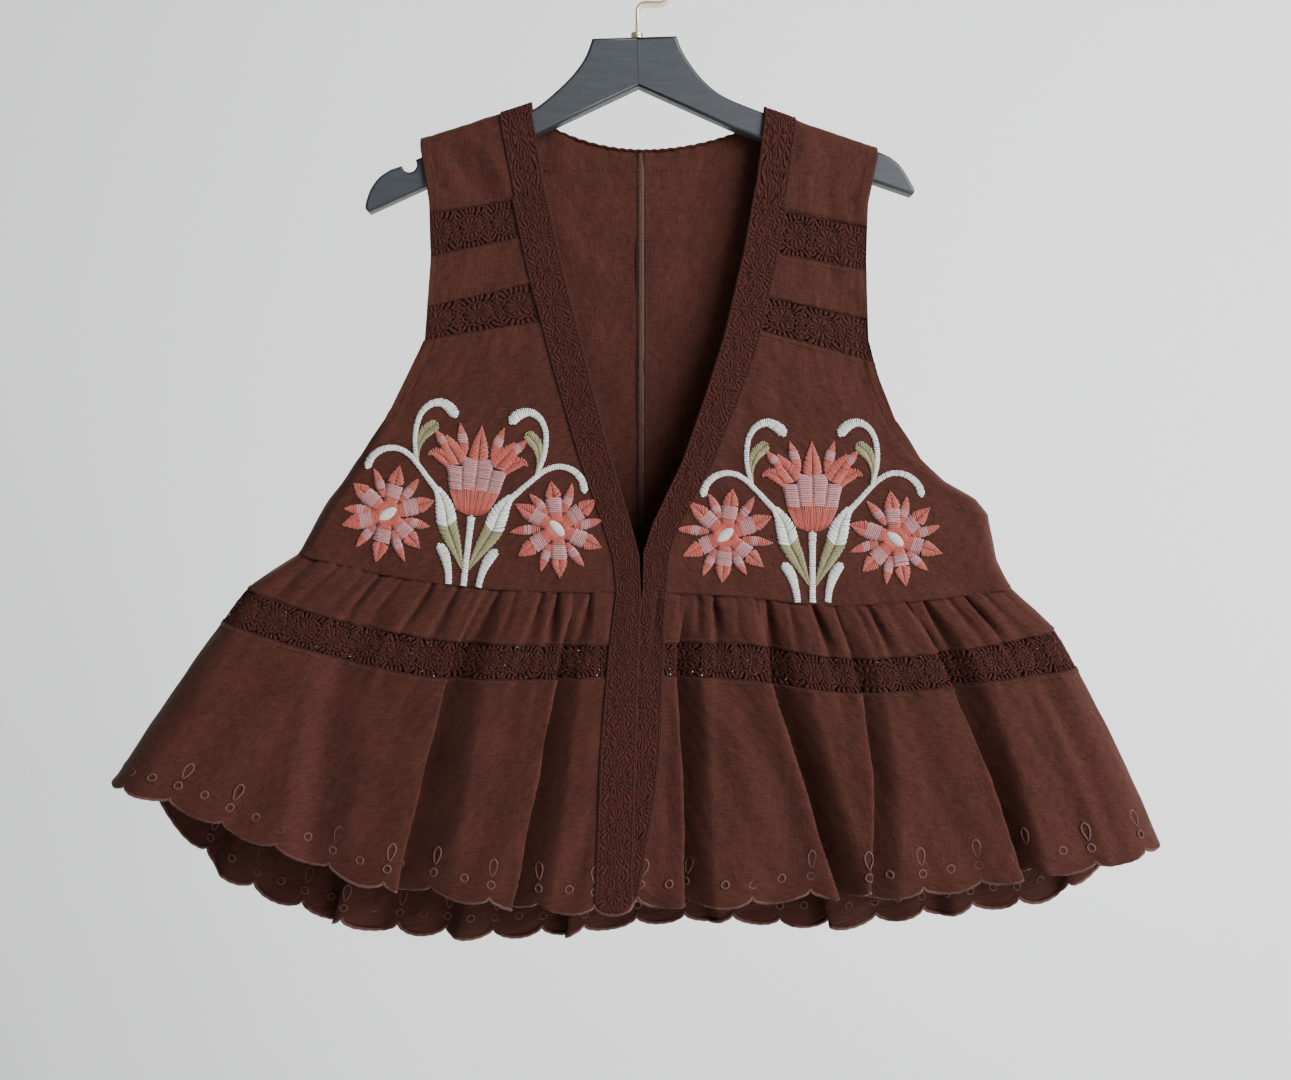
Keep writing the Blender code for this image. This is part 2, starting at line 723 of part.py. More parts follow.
def make_back(side, collection):
    start, end = inset(0, 1, 350)
    return cloth_piece(
        f"back_{side}",
        lambda f, v: back_place(side, f, v),
        [SEAM_GAP / 2 / 280, 0.03, 0.07, 0.15, 0.26, 0.38]
        + evenly(0.5, 1 - SEAM_GAP / 2 / 280, 5),
        evenly(start, end, 10),
        collection,
    )


def make_peplum_cloth(name, place, open_share, panels, collection):
    """Gathered tier, lace insertion and scalloped skirt of one cloth: a front or the back.

    open_share turns the places of the open part into shares of the whole.
    """
    kind = "back" if name == "back" else "front"
    gathers = panels * GATHERS * GATHER_STEPS[kind]
    lobes = panels * SCALLOPS - (kind == "front")
    pieces = (
        ("tier", evenly(0, 1, gathers), TIER_ROWS),
        ("peplum_lace", lace_columns(285 * panels), PEPLUM_LACE_ROWS),
        ("skirt", evenly(0, 1, lobes * SCALLOP_STEPS[kind]), SKIRT_ROWS),
    )
    for piece, columns, rows in pieces:
        is_lace = piece == "peplum_lace"
        cloth_piece(
            f"{piece}_{name}",
            place,
            open_share(columns),
            rows,
            collection,
            "lace" if is_lace else "cotton",
            lace_holes(len(columns)) if is_lace else None,
        )


def make_peplum(collection):
    gap = PEPLUM_GAP / 2 / 330
    for side in ("left", "right"):
        make_peplum_cloth(
            f"front_{side}",
            lambda f, v, s=side: peplum_place(s, f, v),
            lambda places: front_columns([max(gap, place) for place in places]),
            1,
            collection,
        )
    make_peplum_cloth(
        "back",
        back_peplum_place,
        lambda places: [mix(gap / 2, 1 - gap / 2, place) for place in places],
        2,
        collection,
    )


def outward(place, share, down, distance):
    """A point of a surface moved along its normal, away from the body's middle."""
    step = 0.004
    here = place(share, down)
    sideways = place(min(1, share + step), down) - place(share - step, down)
    lower = place(share, down + step) - place(share, down - step)
    normal = sideways.cross(lower).normalized()
    away = -1 if here.y < 0 else 1
    if abs(normal.y) > 0.2 and normal.y * away < 0 or abs(normal.y) <= 0.2 and normal.z < 0:
        normal.negate()
    return here + normal * distance


def make_band(side, collection):
    """The lace band on a front edge, from behind the shoulder to the hem, over the cloth's points."""
    runs = [(lambda f, v: shoulder_place(side, f, v), SHOULDER_ROWS[::-1])]
    for upper, lower, rows in FRONT_ROWS:
        step = 1 if lower == "waist" else 2
        runs.append((
            lambda f, v, a=upper, b=lower: front_place(side, a, b, f, v), rows[:-1:step]
        ))
    drops = TIER_ROWS[:-1] + PEPLUM_LACE_ROWS[:-1:2] + SKIRT_ROWS[:-1]
    runs.append((lambda f, v: peplum_place(side, f, v), drops))
    lift = CLOTH_WALL / 2 + LAY_GAP + LACE_WALL / 2
    shares = evenly(BAND_FROM, 1, BAND_STEPS)
    points = [
        [outward(place, share, down, lift) for share in shares]
        for place, downs in runs
        for down in downs
    ]
    points.append([
        last + 0.8 * (peplum_place(side, share, 1) - peplum_place(side, share, BAND_END))
        for last, share in zip(points[-1], shares)
    ])
    cloth_piece(
        f"band_{side}",
        lambda f, v: points[v][f],
        range(len(shares)),
        range(len(points)),
        collection,
        "lace",
    )


def make_neck_band(collection):
    """The band's run round the back of the neck, on the outside, its edge just above the cloth."""
    left = read_down(NECKLINE["left"], SEAMS["left"]["fold"].inner) + 1
    right = read_down(NECKLINE["right"], SEAMS["right"]["fold"].inner) - 1
    lift = CLOTH_WALL / 2 + LAY_GAP + LACE_WALL / 2

    def place(share, down):
        across = mix(left, right, share)
        height = back_top(across) + BAND_EDGE_RISE - BAND_BACK_WIDTH * down
        fall = (back_top(across) - height) / (back_top(across) - back_waist(across))
        depth = mix(BACK_DEPTH_TOP, BACK_DEPTH_WAIST, smooth(max(0, fall) * 0.9 + 0.05))
        return Vector((across, depth + lift, height))

    cloth_piece("band_back_neck", place, evenly(0, 1, 18), evenly(0, 1, 2), collection, "lace")


def spray_point(side, across, up):
    """A point of the spray's own plane, as (X, Z)."""
    spray = SPRAYS[side]
    cosine, sine = math.cos(spray.lean), math.sin(spray.lean)
    return (
        spray.across + across * cosine - up * sine,
        spray.height + across * sine + up * cosine,
    )


def cloth_at(tree, across, height):
    """The point of the cloth's face in front of (across, height), in millimetres."""
    start = Vector((across * MM, -1, height * MM))
    face, _, _, _ = tree.ray_cast(start, Vector((0, 1, 0)))
    return face / MM


def lay_on(tree, across, height, rise=0.0):
    """A point of stitching that lies on the cloth in front of (across, height)."""
    lift = LAY_GAP + STITCH_WALL / 2 + rise
    return (cloth_at(tree, across, height) - Vector((0, lift, 0))) * MM


def bulge_over(tree, start, end):
    """How far the cloth bulges in front of the straight line between two of its points."""
    first = cloth_at(tree, *start)
    last = cloth_at(tree, *end)
    spots = [first.lerp(last, share) for share in (0.25, 0.5, 0.75)]
    return max(0, *(spot.y - cloth_at(tree, spot.x, spot.z).y for spot in spots))


def stitched_fan(name, side, tree, centre, outline, finish, collection):
    """A flat motif filled round its centre, laid on the cloth."""
    hub = spray_point(side, *centre)
    rim = [spray_point(side, *point) for point in outline]
    rise = max(bulge_over(tree, hub, point) for point in rim)
    mesh = bmesh.new()
    bmesh.ops.create_circle(
        mesh, cap_ends=True, cap_tris=True, segments=len(rim), radius=1.0
    )
    for vertex in mesh.verts:
        place = hub
        if vertex.co.length > 0.5:
            turned = math.atan2(vertex.co.y, vertex.co.x) / (2 * math.pi) % 1
            place = rim[round(turned * len(rim)) % len(rim)]
        vertex.co = lay_on(tree, *place, rise)
    return thicken(finish_piece(name, mesh, finish, collection), STITCH_WALL)


def stroke_edges(side, strokes):
    """The two edges of a stroke, one point a station."""
    edges = []
    for index, here in enumerate(strokes):
        before = strokes[max(0, index - 1)]
        after = strokes[min(len(strokes) - 1, index + 1)]
        heading = Vector((after.across - before.across, after.up - before.up)).normalized()
        edges.append([
            spray_point(
                side, here.across - heading.y * here.half * way, here.up + heading.x * here.half * way
            )
            for way in (-1, 1)
        ])
    return edges


def stitched_stroke(name, side, tree, strokes, finish, collection):
    """A stem or leaf of satin stitch that follows its strokes."""
    mesh = bmesh.new()
    steps = len(strokes) - 1
    bmesh.ops.create_grid(mesh, x_segments=steps, y_segments=1, size=0.5)
    edges = stroke_edges(side, strokes)
    rise = max(
        bulge_over(tree, here[way], after[way])
        for here, after in zip(edges, edges[1:])
        for way in (0, 1)
    )
    for vertex in mesh.verts:
        place = edges[round((vertex.co.x + 0.5) * steps)][vertex.co.y > 0]
        vertex.co = lay_on(tree, *place, rise)
    return thicken(finish_piece(name, mesh, finish, collection), STITCH_WALL)


def daisy_outline(across, up):
    """Points round a daisy: every other petal is narrower, and each has a tip and a waist."""
    points = []
    for petal in range(DAISY_PETALS):
        middle = (petal + 0.5) / DAISY_PETALS * 2 * math.pi
        half_angle = (0.72, 0.42)[petal % 2] * math.pi / DAISY_PETALS
        for angle, radius in (
            (middle - math.pi / DAISY_PETALS, DAISY_HUB),
            (middle - half_angle, DAISY_RADIUS * 0.66),
            (middle, DAISY_RADIUS),
            (middle + half_angle, DAISY_RADIUS * 0.66),
        ):
            points.append((
                across + radius * math.cos(angle), up + radius * math.sin(angle)
            ))
    return points


def tulip_outline():
    """The tulip's outline, anticlockwise from its foot."""
    left = [(-across, up) for across, up in reversed(TULIP_HALF[1:])]
    return TULIP_HALF + [TULIP_TIP] + left


def make_spray(side, panel, collection):
    """One front's embroidery: a tulip, two daisies, and white stems with olive leaves."""
    tree = BVHTree.FromObject(panel, bpy.context.evaluated_depsgraph_get())
    for place, (across, up) in DAISY_PLACES.items():
        across = across if side == "right" else -across
        stitched_fan(
            f"daisy_{place}_{side}", side, tree, (across, up),
            daisy_outline(across, up), "coral_thread", collection,
        )
    stitched_fan(
        f"tulip_{side}", side, tree, TULIP_MIDDLE, tulip_outline(), "coral_thread", collection
    )
    stitched_stroke(
        f"stem_middle_{side}", side, tree, CENTRE_STEM, "white_thread", collection
    )
    for name, strokes in STROKES.items():
        finish = "olive_thread" if name == "leaf" else "white_thread"
        for place, way in (("outer", 1), ("inner", -1)):
            way = way if side == "right" else -way
            laid = strokes
            if name == "stem" and place == "inner":
                laid = strokes[:-2] + [INNER_STEM_END]
            mirrored = [Stroke(way * s.across, s.up, s.half) for s in laid]
            stitched_stroke(
                f"{name}_{place}_{side}", side, tree, mirrored, finish, collection
            )


def arc(centre, radius, start, end, steps):
    """Points of an arc in the X and Z plane; angles are in degrees."""
    return [
        (
            centre[0] + radius * math.cos(math.radians(angle)),
            centre[1] + radius * math.sin(math.radians(angle)),
        )
        for angle in evenly(start, end, steps)
    ]


def flat_outline(name, outline, half, edge, finish, collection):
    """A board cut to an outline in the X and Z plane, with a small round on its edges."""
    curve = bpy.data.curves.new(name, "CURVE")
    curve.dimensions = "2D"
    curve.fill_mode = "BOTH"
    curve.extrude = (half - edge) * MM
    curve.bevel_depth = edge * MM
    curve.offset = -edge * MM
    curve.bevel_resolution = 0
    spline = curve.splines.new("POLY")
    spline.points.add(len(outline) - 1)
    for point, (across, height) in zip(spline.points, outline):
        point.co = (across * MM, height * MM, 0, 1)
    spline.use_cyclic_u = True
    obj = bpy.data.objects.new(name, curve)
    obj.rotation_euler = (math.pi / 2, 0, 0)
    obj.data.materials.append(material(finish))
    collection.objects.link(obj)
    return obj


# Each half of the board from the joint outwards, in its own plane: the swept shoulder down to the
# notch, the middle of the notch, the rounded end, and the underside back to the joint.
BoardHalf = namedtuple("BoardHalf", "sweep notch end under")
BOARD_HALVES = {
    -1: BoardHalf(
        [
            (35.6, 0), (40.4, -12), (46.3, -21.5), (54.5, -31), (66, -41.5), (81, -53),
            (101, -64), (172.6, -89.7),
        ],
        (184.4, -96.0),
        [
            (199.4, -99.6), (207.9, -104.9), (214.1, -112), (218.0, -119.7), (220.4, -129.0),
            (217.6, -133.2),
        ],
        [(172.7, -114.4), (64, -67.1), (BOARD_JOINT, -39)],
    ),
    1: BoardHalf(
        [
            (31.6, 0), (35.2, -10.5), (42.1, -22.9), (52.8, -36.8), (65.3, -47.6), (81, -55.6),
            (101, -64), (169.5, -88.6),
        ],
        (181.0, -94.9),
        [
            (198.4, -101.2), (205.5, -107.2), (211.2, -115.6), (217.5, -128.4),
            (214.6, -132.2),
        ],
        [(182.8, -120.1), (72.7, -74.4), (BOARD_JOINT, -39)],
    ),
}


def board_outline(way):
    """Half of the hanger's board: flat head, swept shoulder, notched end and straight underside."""
    half = BOARD_HALVES[way]
    notch = arc(half.notch, STRAP_NOTCH / 2, 145, 352, 5)
    outline = [(BOARD_JOINT, 0)] + half.sweep + notch + half.end + half.under
    points = [(way * across, height) for across, height in outline]
    cosine, sine = math.cos(BOARD_TILT), math.sin(BOARD_TILT)
    return [
        (across * cosine - height * sine, BOARD_TOP + across * sine + height * cosine)
        for across, height in points
    ]


def hook_outline():
    """The hook's flat strip seen from the front: stem, run to the right, and bend over the top."""
    bend = HOOK_BEND
    centre = -(bend - HOOK_THICKNESS / 2)
    stem_foot = BOARD_TOP + FERRULE_HEIGHT - 0.3
    corner = HOOK_CORNER
    path = (
        [(0, stem_foot)]
        + arc((corner, HOOK_RUN - corner), corner, 180, 90, 3)
        + arc((bend - corner, HOOK_RUN + corner), corner, -90, 0, 3)
        + arc((0, centre), bend, 0, 180, 14)
        + [(-bend + 0.5, centre - 8), (-bend - 1.5, centre - 13)]
    )
    half = HOOK_THICKNESS / 2
    sides = {1: [], -1: []}
    for index, point in enumerate(path):
        before = path[max(0, index - 1)]
        after = path[min(len(path) - 1, index + 1)]
        heading = Vector((after[0] - before[0], after[1] - before[1])).normalized()
        for way, points in sides.items():
            points.append((
                point[0] - heading.y * half * way, point[1] + heading.x * half * way
            ))
    return sides[1] + sides[-1][::-1]


def make_hanger(collection):
    """Two board halves joined at the middle, a brass ferrule, and the flat brass hook."""
    for name, way in (("left", -1), ("right", 1)):
        flat_outline(
            f"hanger_board_{name}", board_outline(way), BOARD_HALF, BOARD_EDGE,
            "board_paint", collection,
        )
    flat_outline("hanger_hook", hook_outline(), HOOK_WIDTH / 2, 0.5, "brass", collection)
    mesh = bmesh.new()
    bmesh.ops.create_cone(
        mesh,
        cap_ends=True,
        segments=16,
        radius1=FERRULE_RADIUS * MM,
        radius2=FERRULE_RADIUS * 0.7 * MM,
        depth=(FERRULE_HEIGHT - 0.9) * MM,
    )
    ferrule = finish_piece("hanger_ferrule", mesh, "brass", collection)
    ferrule.location = (0, 0, (BOARD_TOP + FERRULE_HEIGHT / 2 - 0.15) * MM)


def main():
    clear_scene()
    collection = new_collection("embroidered_sleeveless_top")
    make_hanger(collection)
    for side in ("left", "right"):
        make_yoke(side, collection)
        panel = make_front(side, collection)
        make_back(side, collection)
        make_band(side, collection)
        make_spray(side, panel, collection)
    make_neck_band(collection)
    make_peplum(collection)


main()
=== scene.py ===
import math
from collections import namedtuple

import bmesh
import bpy
import numpy as np
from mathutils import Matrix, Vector
from mathutils.bvhtree import BVHTree


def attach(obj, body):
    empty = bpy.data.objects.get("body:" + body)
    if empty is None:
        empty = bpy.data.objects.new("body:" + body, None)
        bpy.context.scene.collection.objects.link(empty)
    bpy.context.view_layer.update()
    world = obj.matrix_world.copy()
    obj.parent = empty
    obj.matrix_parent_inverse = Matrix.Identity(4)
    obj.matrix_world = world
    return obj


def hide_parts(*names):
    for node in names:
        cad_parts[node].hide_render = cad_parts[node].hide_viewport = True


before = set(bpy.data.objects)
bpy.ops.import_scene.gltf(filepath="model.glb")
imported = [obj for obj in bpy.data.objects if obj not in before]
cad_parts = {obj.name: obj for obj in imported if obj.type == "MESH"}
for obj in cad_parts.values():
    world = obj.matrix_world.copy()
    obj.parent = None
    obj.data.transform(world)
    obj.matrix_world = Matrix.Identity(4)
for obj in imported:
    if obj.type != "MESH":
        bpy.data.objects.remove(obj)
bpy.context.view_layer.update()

bl_info = {
    "name": "Embroidered sleeveless top",
    "version": (1, 0, 0),
    "blender": (4, 5, 0),
    "location": "View3D > Sidebar > Top",
    "description": "Cloth, lace, embroidery and stage of a sleeveless peplum top on its hanger",
    "category": "Object",
}

# Every length below is in millimetres until a mesh is made. +Z is up, the front faces -Y.
MM = 0.001
SIDES = ("left", "right")
SEED = 7
rng = np.random.default_rng(SEED)

Edge = namedtuple("Edge", "height across")
Seam = namedtuple("Seam", "outer inner depth")
Ring = namedtuple("Ring", "drop side front heights curl depth")

# The shoulders over the hanger, the back behind them and the turn of the cloth at the armholes.
ARCH_RADIUS = 8.6
BACK_DROP = 10.0
BACK_DEPTH_WAIST = 19.0
BODY_CURL = 12.0
ARMHOLE_CLOSING = 60.0
CENTRE_BACK = 4.5
NECK_CENTRE = -165.5
BUST_FULLNESS = 3.0
# Below the point of the V the left front lies over the right one, near the front edge only.
LAYER_TOP = -400.0
LAYER_FALL = 60.0
LAYER_REACH = 32.0
FRONT_LAYER = 2.0
LAYER_FADE = 70.0
# The hem's lobes on each front, and where the lace starts and ends down the peplum.
SCALLOPS = 11
SCALLOP_DEPTH = 9.0
PEPLUM_LENGTH = 262.0
LACE_TOP = 0.17
LACE_BASE = 0.31
# The bands: the share of a front where they start, how far down the hem they go, and their run
# round the back of the neck.
BAND_FROM = 10 / 11
BAND_HEM = 0.985
BAND_EDGE_RISE = 2.0
BAND_BACK_WIDTH = 26.0
# About how wide and how long each surface is.
SPANS = {
    "shoulder": (95, 60), "yoke_upper": (110, 36), "yoke_strip": (115, 33),
    "yoke_lower": (120, 36), "front": (270, 215), "back": (285, 360), "peplum": (440, 260),
    "peplum_back": (880, 270), "neck": (200, BAND_BACK_WIDTH),
}

# Where the cloth's edges stand across at each height.
ARMHOLE = {
    "left": [
        Edge(-158, -172), Edge(-208.5, -164.9), Edge(-256, -163.4), Edge(-319.5, -167.9),
        Edge(-351, -182.3), Edge(-383, -197.2), Edge(-414.5, -221.1), Edge(-446, -244),
        Edge(-478, -263), Edge(-489, -269),
    ],
    "right": [
        Edge(-165, 191.5), Edge(-208.5, 183.4), Edge(-256, 181.9), Edge(-319.5, 183.4),
        Edge(-351, 191.3), Edge(-383, 203.2), Edge(-414.5, 224.1), Edge(-432, 244),
        Edge(-446, 269), Edge(-458, 279),
        Edge(-494, 285.5), Edge(-516, 297),
    ],
}
NECKLINE = {
    "left": [
        Edge(-128.5, -83.8), Edge(-197, -73.2), Edge(-262.5, -58.7), Edge(-329, -41.8),
        Edge(-408, -22), Edge(-463.5, -5.3), Edge(-490, 1.7), Edge(-519, 3.1),
    ],
    "right": [
        Edge(-134.5, 101.3), Edge(-189, 95.1), Edge(-246.5, 85.1), Edge(-317.5, 68.6),
        Edge(-367, 52.8), Edge(-415, 36), Edge(-466, 11.9), Edge(-488, 5), Edge(-519, 4.3),
    ],
}
BAND_WIDTHS = [
    Edge(-126, 25), Edge(-160, 27.5), Edge(-340, 27.5), Edge(-430, 24), Edge(-520, 19),
    Edge(-565, 24), Edge(-640, 28), Edge(-780, 29),
]
UNDERARM = {"left": -436.0, "right": -446.0}
# Each seam's height at the armhole and at the front edge, and how far forward it lies.
SEAMS = {
    "left": {
        "fold": Seam(-158, -129.5, ARCH_RADIUS),
        "yoke_top": Seam(-216.5, -202, 10),
        "yoke_upper": Seam(-256, -235, 11),
        "yoke_lower": Seam(-291, -266, 12),
        "yoke_base": Seam(-322, -303.5, 13.5),
    },
    "right": {
        "fold": Seam(-165.4, -133, ARCH_RADIUS),
        "yoke_top": Seam(-227.5, -210, 10),
        "yoke_upper": Seam(-267, -249, 11),
        "yoke_lower": Seam(-301, -278, 12),
        "yoke_base": Seam(-339.5, -307.5, 13.5),
    },
}
# The hem's height at even steps from the side seam to the front edge; the back's, left to right.
HEM_HEIGHTS = {
    "left": (-669, -681.5, -703.5, -724.5, -745, -752, -761.5, -765.3, -766.5),
    "right": (-717, -731, -738.5, -748.5, -755, -753.5, -761, -761, -761),
    "back": (
        -669, -748, -783, -800, -805, -804, -795, -792, -797, -792, -783, -772, -717,
    ),
}
# The peplum's rings, at shares of the way down it: from where to where, at what heights, and how
# round its side and how deep it is.
PEPLUM = {
    "left": [
        Ring(0.00, -269, 3.1, (-489, -504.5, -514.5, -518.5, -518.5), 12, 25),
        Ring(0.17, -308, 2.1, (-515, -539, -554, -558.5, -557.5), 18, 31),
        Ring(0.31, -330, 1.2, (-543, -568.5, -586.5, -589, -585), 22, 34),
        Ring(0.64, -375, -1.2, (-607, -640.5, -667.5, -676, -677), 30, 41),
        Ring(1.00, -416, -3.6, HEM_HEIGHTS["left"], 34, 47),
    ],
    "right": [
        Ring(0.00, 297, 4.3, (-516, -525, -529, -522, -518.5), 12, 25),
        Ring(0.17, 330, -1.8, (-547, -562.5, -568.5, -557, -557.5), 18, 31),
        Ring(0.31, 350, -4.7, (-580.5, -592, -599.5, -589.5, -585), 22, 34),
        Ring(0.64, 386, -13.3, (-652, -666.5, -675, -673, -672), 30, 41),
        Ring(1.00, 414, -29.5, HEM_HEIGHTS["right"], 34, 47),
    ],
    "back": [
        Ring(0.00, -269, 297, (-489, -508.5, -518.5, -521.5, -527, -523.5, -516), 12, 19),
        Ring(0.17, -308, 330, (-515, -547.5, -561.5, -565.5, -569, -561.5, -547), 18, 24),
        Ring(0.31, -330, 350, (-543, -583, -599.5, -602.5, -604.5, -596.5, -580.5), 22, 26),
        Ring(0.64, -375, 386, (-607, -678, -699.5, -696.5, -700.5, -686, -652), 30, 31),
        Ring(1.00, -416, 414, HEM_HEIGHTS["back"], 34, 35),
    ],
}
# The deep folds: a roll, a steep drop on its right and a slope back up from the valley. Where
# the roll ends at the lace and at the hem, its height and reach, the width of its drop, how wide
# the slope is at the lace and at the hem, how deep the valley is, and how far the roll leans over.
Fold = namedtuple("Fold", "lace hem crest reach drop rise rise_hem depth lean")
FOLDS = {
    "left": [
        Fold(0.235, 0.345, 0.5, 40, 24, 30, 34, 8, 2.0),
        Fold(0.545, 0.556, 4.0, 40, 6, 28, 40, 23, 15.0),
        Fold(0.800, 0.770, 3.5, 34, 7, 16, 26, 17, 13.0),
    ],
    "right": [
        Fold(0.905, 0.855, 2.5, 14, 7, 16, 20, 17, 11.0),
        Fold(0.696, 0.588, 4.0, 34, 6, 28, 20, 21, 10.0),
        Fold(0.500, 0.535, 3.0, 26, 8, 13, 20, 12, 12.0),
        Fold(0.297, 0.268, 4.0, 34, 6, 22, 18, 19, 9.0),
        Fold(0.130, 0.120, 0.5, 20, 15, 20, 24, 5, 2.0),
    ],
    "back": [
        Fold(0.09, 0.08, 2.5, 26, 10, 24, 28, 8, 0.0),
        Fold(0.21, 0.20, 3.5, 30, 7, 28, 34, 14, 7.0),
        Fold(0.33, 0.31, 3.0, 28, 12, 26, 28, 8, 0.0),
        Fold(0.44, 0.43, 3.5, 32, 7, 28, 36, 15, 7.0),
        Fold(0.56, 0.57, 3.0, 28, 10, 26, 30, 9, 0.0),
        Fold(0.67, 0.69, 3.5, 30, 7, 28, 34, 14, 7.0),
        Fold(0.79, 0.80, 3.0, 28, 12, 26, 28, 8, 0.0),
        Fold(0.91, 0.92, 2.5, 24, 10, 22, 26, 7, 0.0),
    ],
}
# How much of a fold shows at each share of the way down.
FOLD_STRENGTH = [(0.0, 0.04), (0.05, 0.2), (0.17, 0.5), (0.31, 0.78), (0.6, 1.0), (1.0, 0.95)]

# Where the gathers of the upper tier dip: X along the waist seam of each front.
DIPS = {
    "left": (
        -250, -233, -212, -201, -183, -160, -140, -126, -107, -94, -74, -62, -50, -36, -18, 0,
    ),
    "right": (
        285, 282, 270, 256, 242, 224, 210, 194, 180, 170, 154, 137, 118, 102, 92, 77, 60, 48,
        34, 16, 0,
    ),
}

# Soft creases, each from one point of (X, Z) to another; the depth of a ridge is negative.
Crease = namedtuple("Crease", "across height across_end height_end width depth")
CREASES = {
    "left": [
        Crease(-150, -166, -118, -206, 9, 2.2), Crease(-128, -158, -100, -200, 8, -1.4),
        Crease(-160, -330, -196, -420, 14, 0.8), Crease(-120, -330, -150, -380, 12, 0.5),
        Crease(-92, -350, -60, -430, 11, 0.6), Crease(-205, -440, -235, -500, 10, 0.6),
    ],
    "right": [
        Crease(150, -160, 158, -300, 9, 1.3), Crease(168, -180, 176, -330, 7, 1.0),
        Crease(134, -150, 138, -250, 8, -0.9), Crease(183, -200, 180, -330, 5, 0.8),
        Crease(120, -315, 106, -400, 9, 1.1), Crease(158, -320, 196, -410, 10, 1.1),
        Crease(176, -330, 226, -430, 9, 0.9), Crease(205, -420, 262, -480, 11, 0.9),
        Crease(96, -340, 74, -430, 10, 0.7), Crease(240, -440, 280, -500, 8, 0.8),
    ],
}


def mix(a, b, share):
    return a + (b - a) * share


def smooth(share):
    """0 to 1 with level ends."""
    share = np.clip(share, 0, 1)
    return share * share * (3 - 2 * share)


def cubic(start, rise, slope_start, slope_end, share):
    """A value that rises from start by rise, with the slopes given at its ends."""
    bend = 3 * rise - 2 * slope_start - slope_end
    return start + share * (
        slope_start + share * (bend + share * (slope_start + slope_end - 2 * rise))
    )


def along(values, share):
    """A smooth curve through evenly spaced values."""
    values = np.asarray(values, float)
    last = len(values) - 1
    place = np.clip(np.asarray(share, float) * last, 0, last)
    step = np.minimum(place.astype(int), last - 1)
    share = place - step
    wide = np.concatenate(
        [[2 * values[0] - values[1]], values, [2 * values[-1] - values[-2]]]
    )
    before, start, end, after = (wide[step + shift] for shift in range(4))
    return cubic(start, end - start, (end - before) / 2, (after - start) / 2, share)


def read_down(rows, height):
    """The value of an Edge table at a height."""
    heights = [-row.height for row in rows]
    return np.interp(-np.asarray(height, float), heights, [row.across for row in rows])


def band_fit(share, length, band):
    """Distance along a front, where the shares beyond BAND_FROM span the band's width."""
    open_part = share / BAND_FROM * (length - band)
    return np.where(share <= BAND_FROM, open_part, length - band * (1 - share) / (1 - BAND_FROM))


def turn(curl, depth, width, share, band=None):
    """(distance in from the side seam, share of the depth) round a quarter turn and along."""
    bend = math.pi / 4 * (curl + depth)
    length = bend + width - curl
    place = share * length if band is None else band_fit(share, length, band)
    angle = np.clip(place / bend, -0.02, 1) * math.pi / 2
    inward = np.where(place < bend, curl * (1 - np.cos(angle)), curl + place - bend)
    return inward, np.where(place < bend, np.sin(angle), 1.0)


def seam_height(side, name, share):
    if name == "waist":
        return along(PEPLUM[side][0].heights, share)
    seam = SEAMS[side][name]
    return mix(seam.outer, seam.inner, share)


def seam_depth(side, name):
    return PEPLUM[side][0].depth if name == "waist" else SEAMS[side][name].depth


def layer_shift(side, height, from_front):
    """Below the neckline's point the left front edge lies over the right one."""
    down = smooth((LAYER_TOP - height) / LAYER_FALL)
    near = smooth(1 - (from_front - LAYER_REACH) / LAYER_FADE)
    return (-FRONT_LAYER if side == "left" else FRONT_LAYER) * down * near


def creases(side, across, height):
    """How far the soft creases of a front draw it back at a point."""
    total = np.zeros(np.shape(across))
    for crease in CREASES[side]:
        run = np.array([crease.across_end - crease.across, crease.height_end - crease.height])
        length = np.hypot(*run)
        heading = run / length
        dx, dz = across - crease.across, height - crease.height
        place = (dx * heading[0] + dz * heading[1]) / length
        aside = dx * heading[1] - dz * heading[0]
        taper = smooth((place + 0.25) / 0.5) * smooth((1.25 - place) / 0.5)
        total = total + crease.depth * taper * np.exp(-((aside / crease.width) ** 2))
    return total


def rumple(first, second, size, seed):
    """Gentle irregular waves of about the given size over two lengths, from -1 to 1."""
    waves = np.random.default_rng(seed)
    total = np.zeros(np.broadcast(first, second).shape)
    for _ in range(7):
        angle, phase = waves.uniform(0, math.pi), waves.uniform(0, 2 * math.pi)
        pitch = size * waves.uniform(0.7, 1.6)
        swing = (first * math.cos(angle) + second * math.sin(angle)) / pitch
        total = total + np.sin(2 * math.pi * swing + phase)
    return total / 3.2


def front_place(side, upper, lower, share, down):
    """A point of a front between two seams, share from the armhole in, down from the upper."""
    outer_height = mix(seam_height(side, upper, 0), seam_height(side, lower, 0), down)
    inner_height = mix(seam_height(side, upper, 1), seam_height(side, lower, 1), down)
    outer = read_down(ARMHOLE[side], outer_height)
    inner = read_down(NECKLINE[side], inner_height)
    depth = mix(seam_depth(side, upper), seam_depth(side, lower), down)
    if lower == "waist":
        depth = depth + BUST_FULLNESS * np.sin(math.pi * np.clip(down, 0, 1))
    width = np.abs(inner - outer)
    inward, turned = turn(BODY_CURL, depth, width, share, read_down(BAND_WIDTHS, inner_height))
    closed = smooth((UNDERARM[side] + ARMHOLE_CLOSING - outer_height) / ARMHOLE_CLOSING)
    lateral = inward / width
    height = mix(seam_height(side, upper, lateral), seam_height(side, lower, lateral), down)
    across = outer + (inner - outer) * lateral
    forward = depth * (1 - closed * (1 - turned))
    still = smooth((1 - share) / 0.1)
    forward = forward - still * creases(side, across, height)
    return across, layer_shift(side, height, width - inward) - forward, height


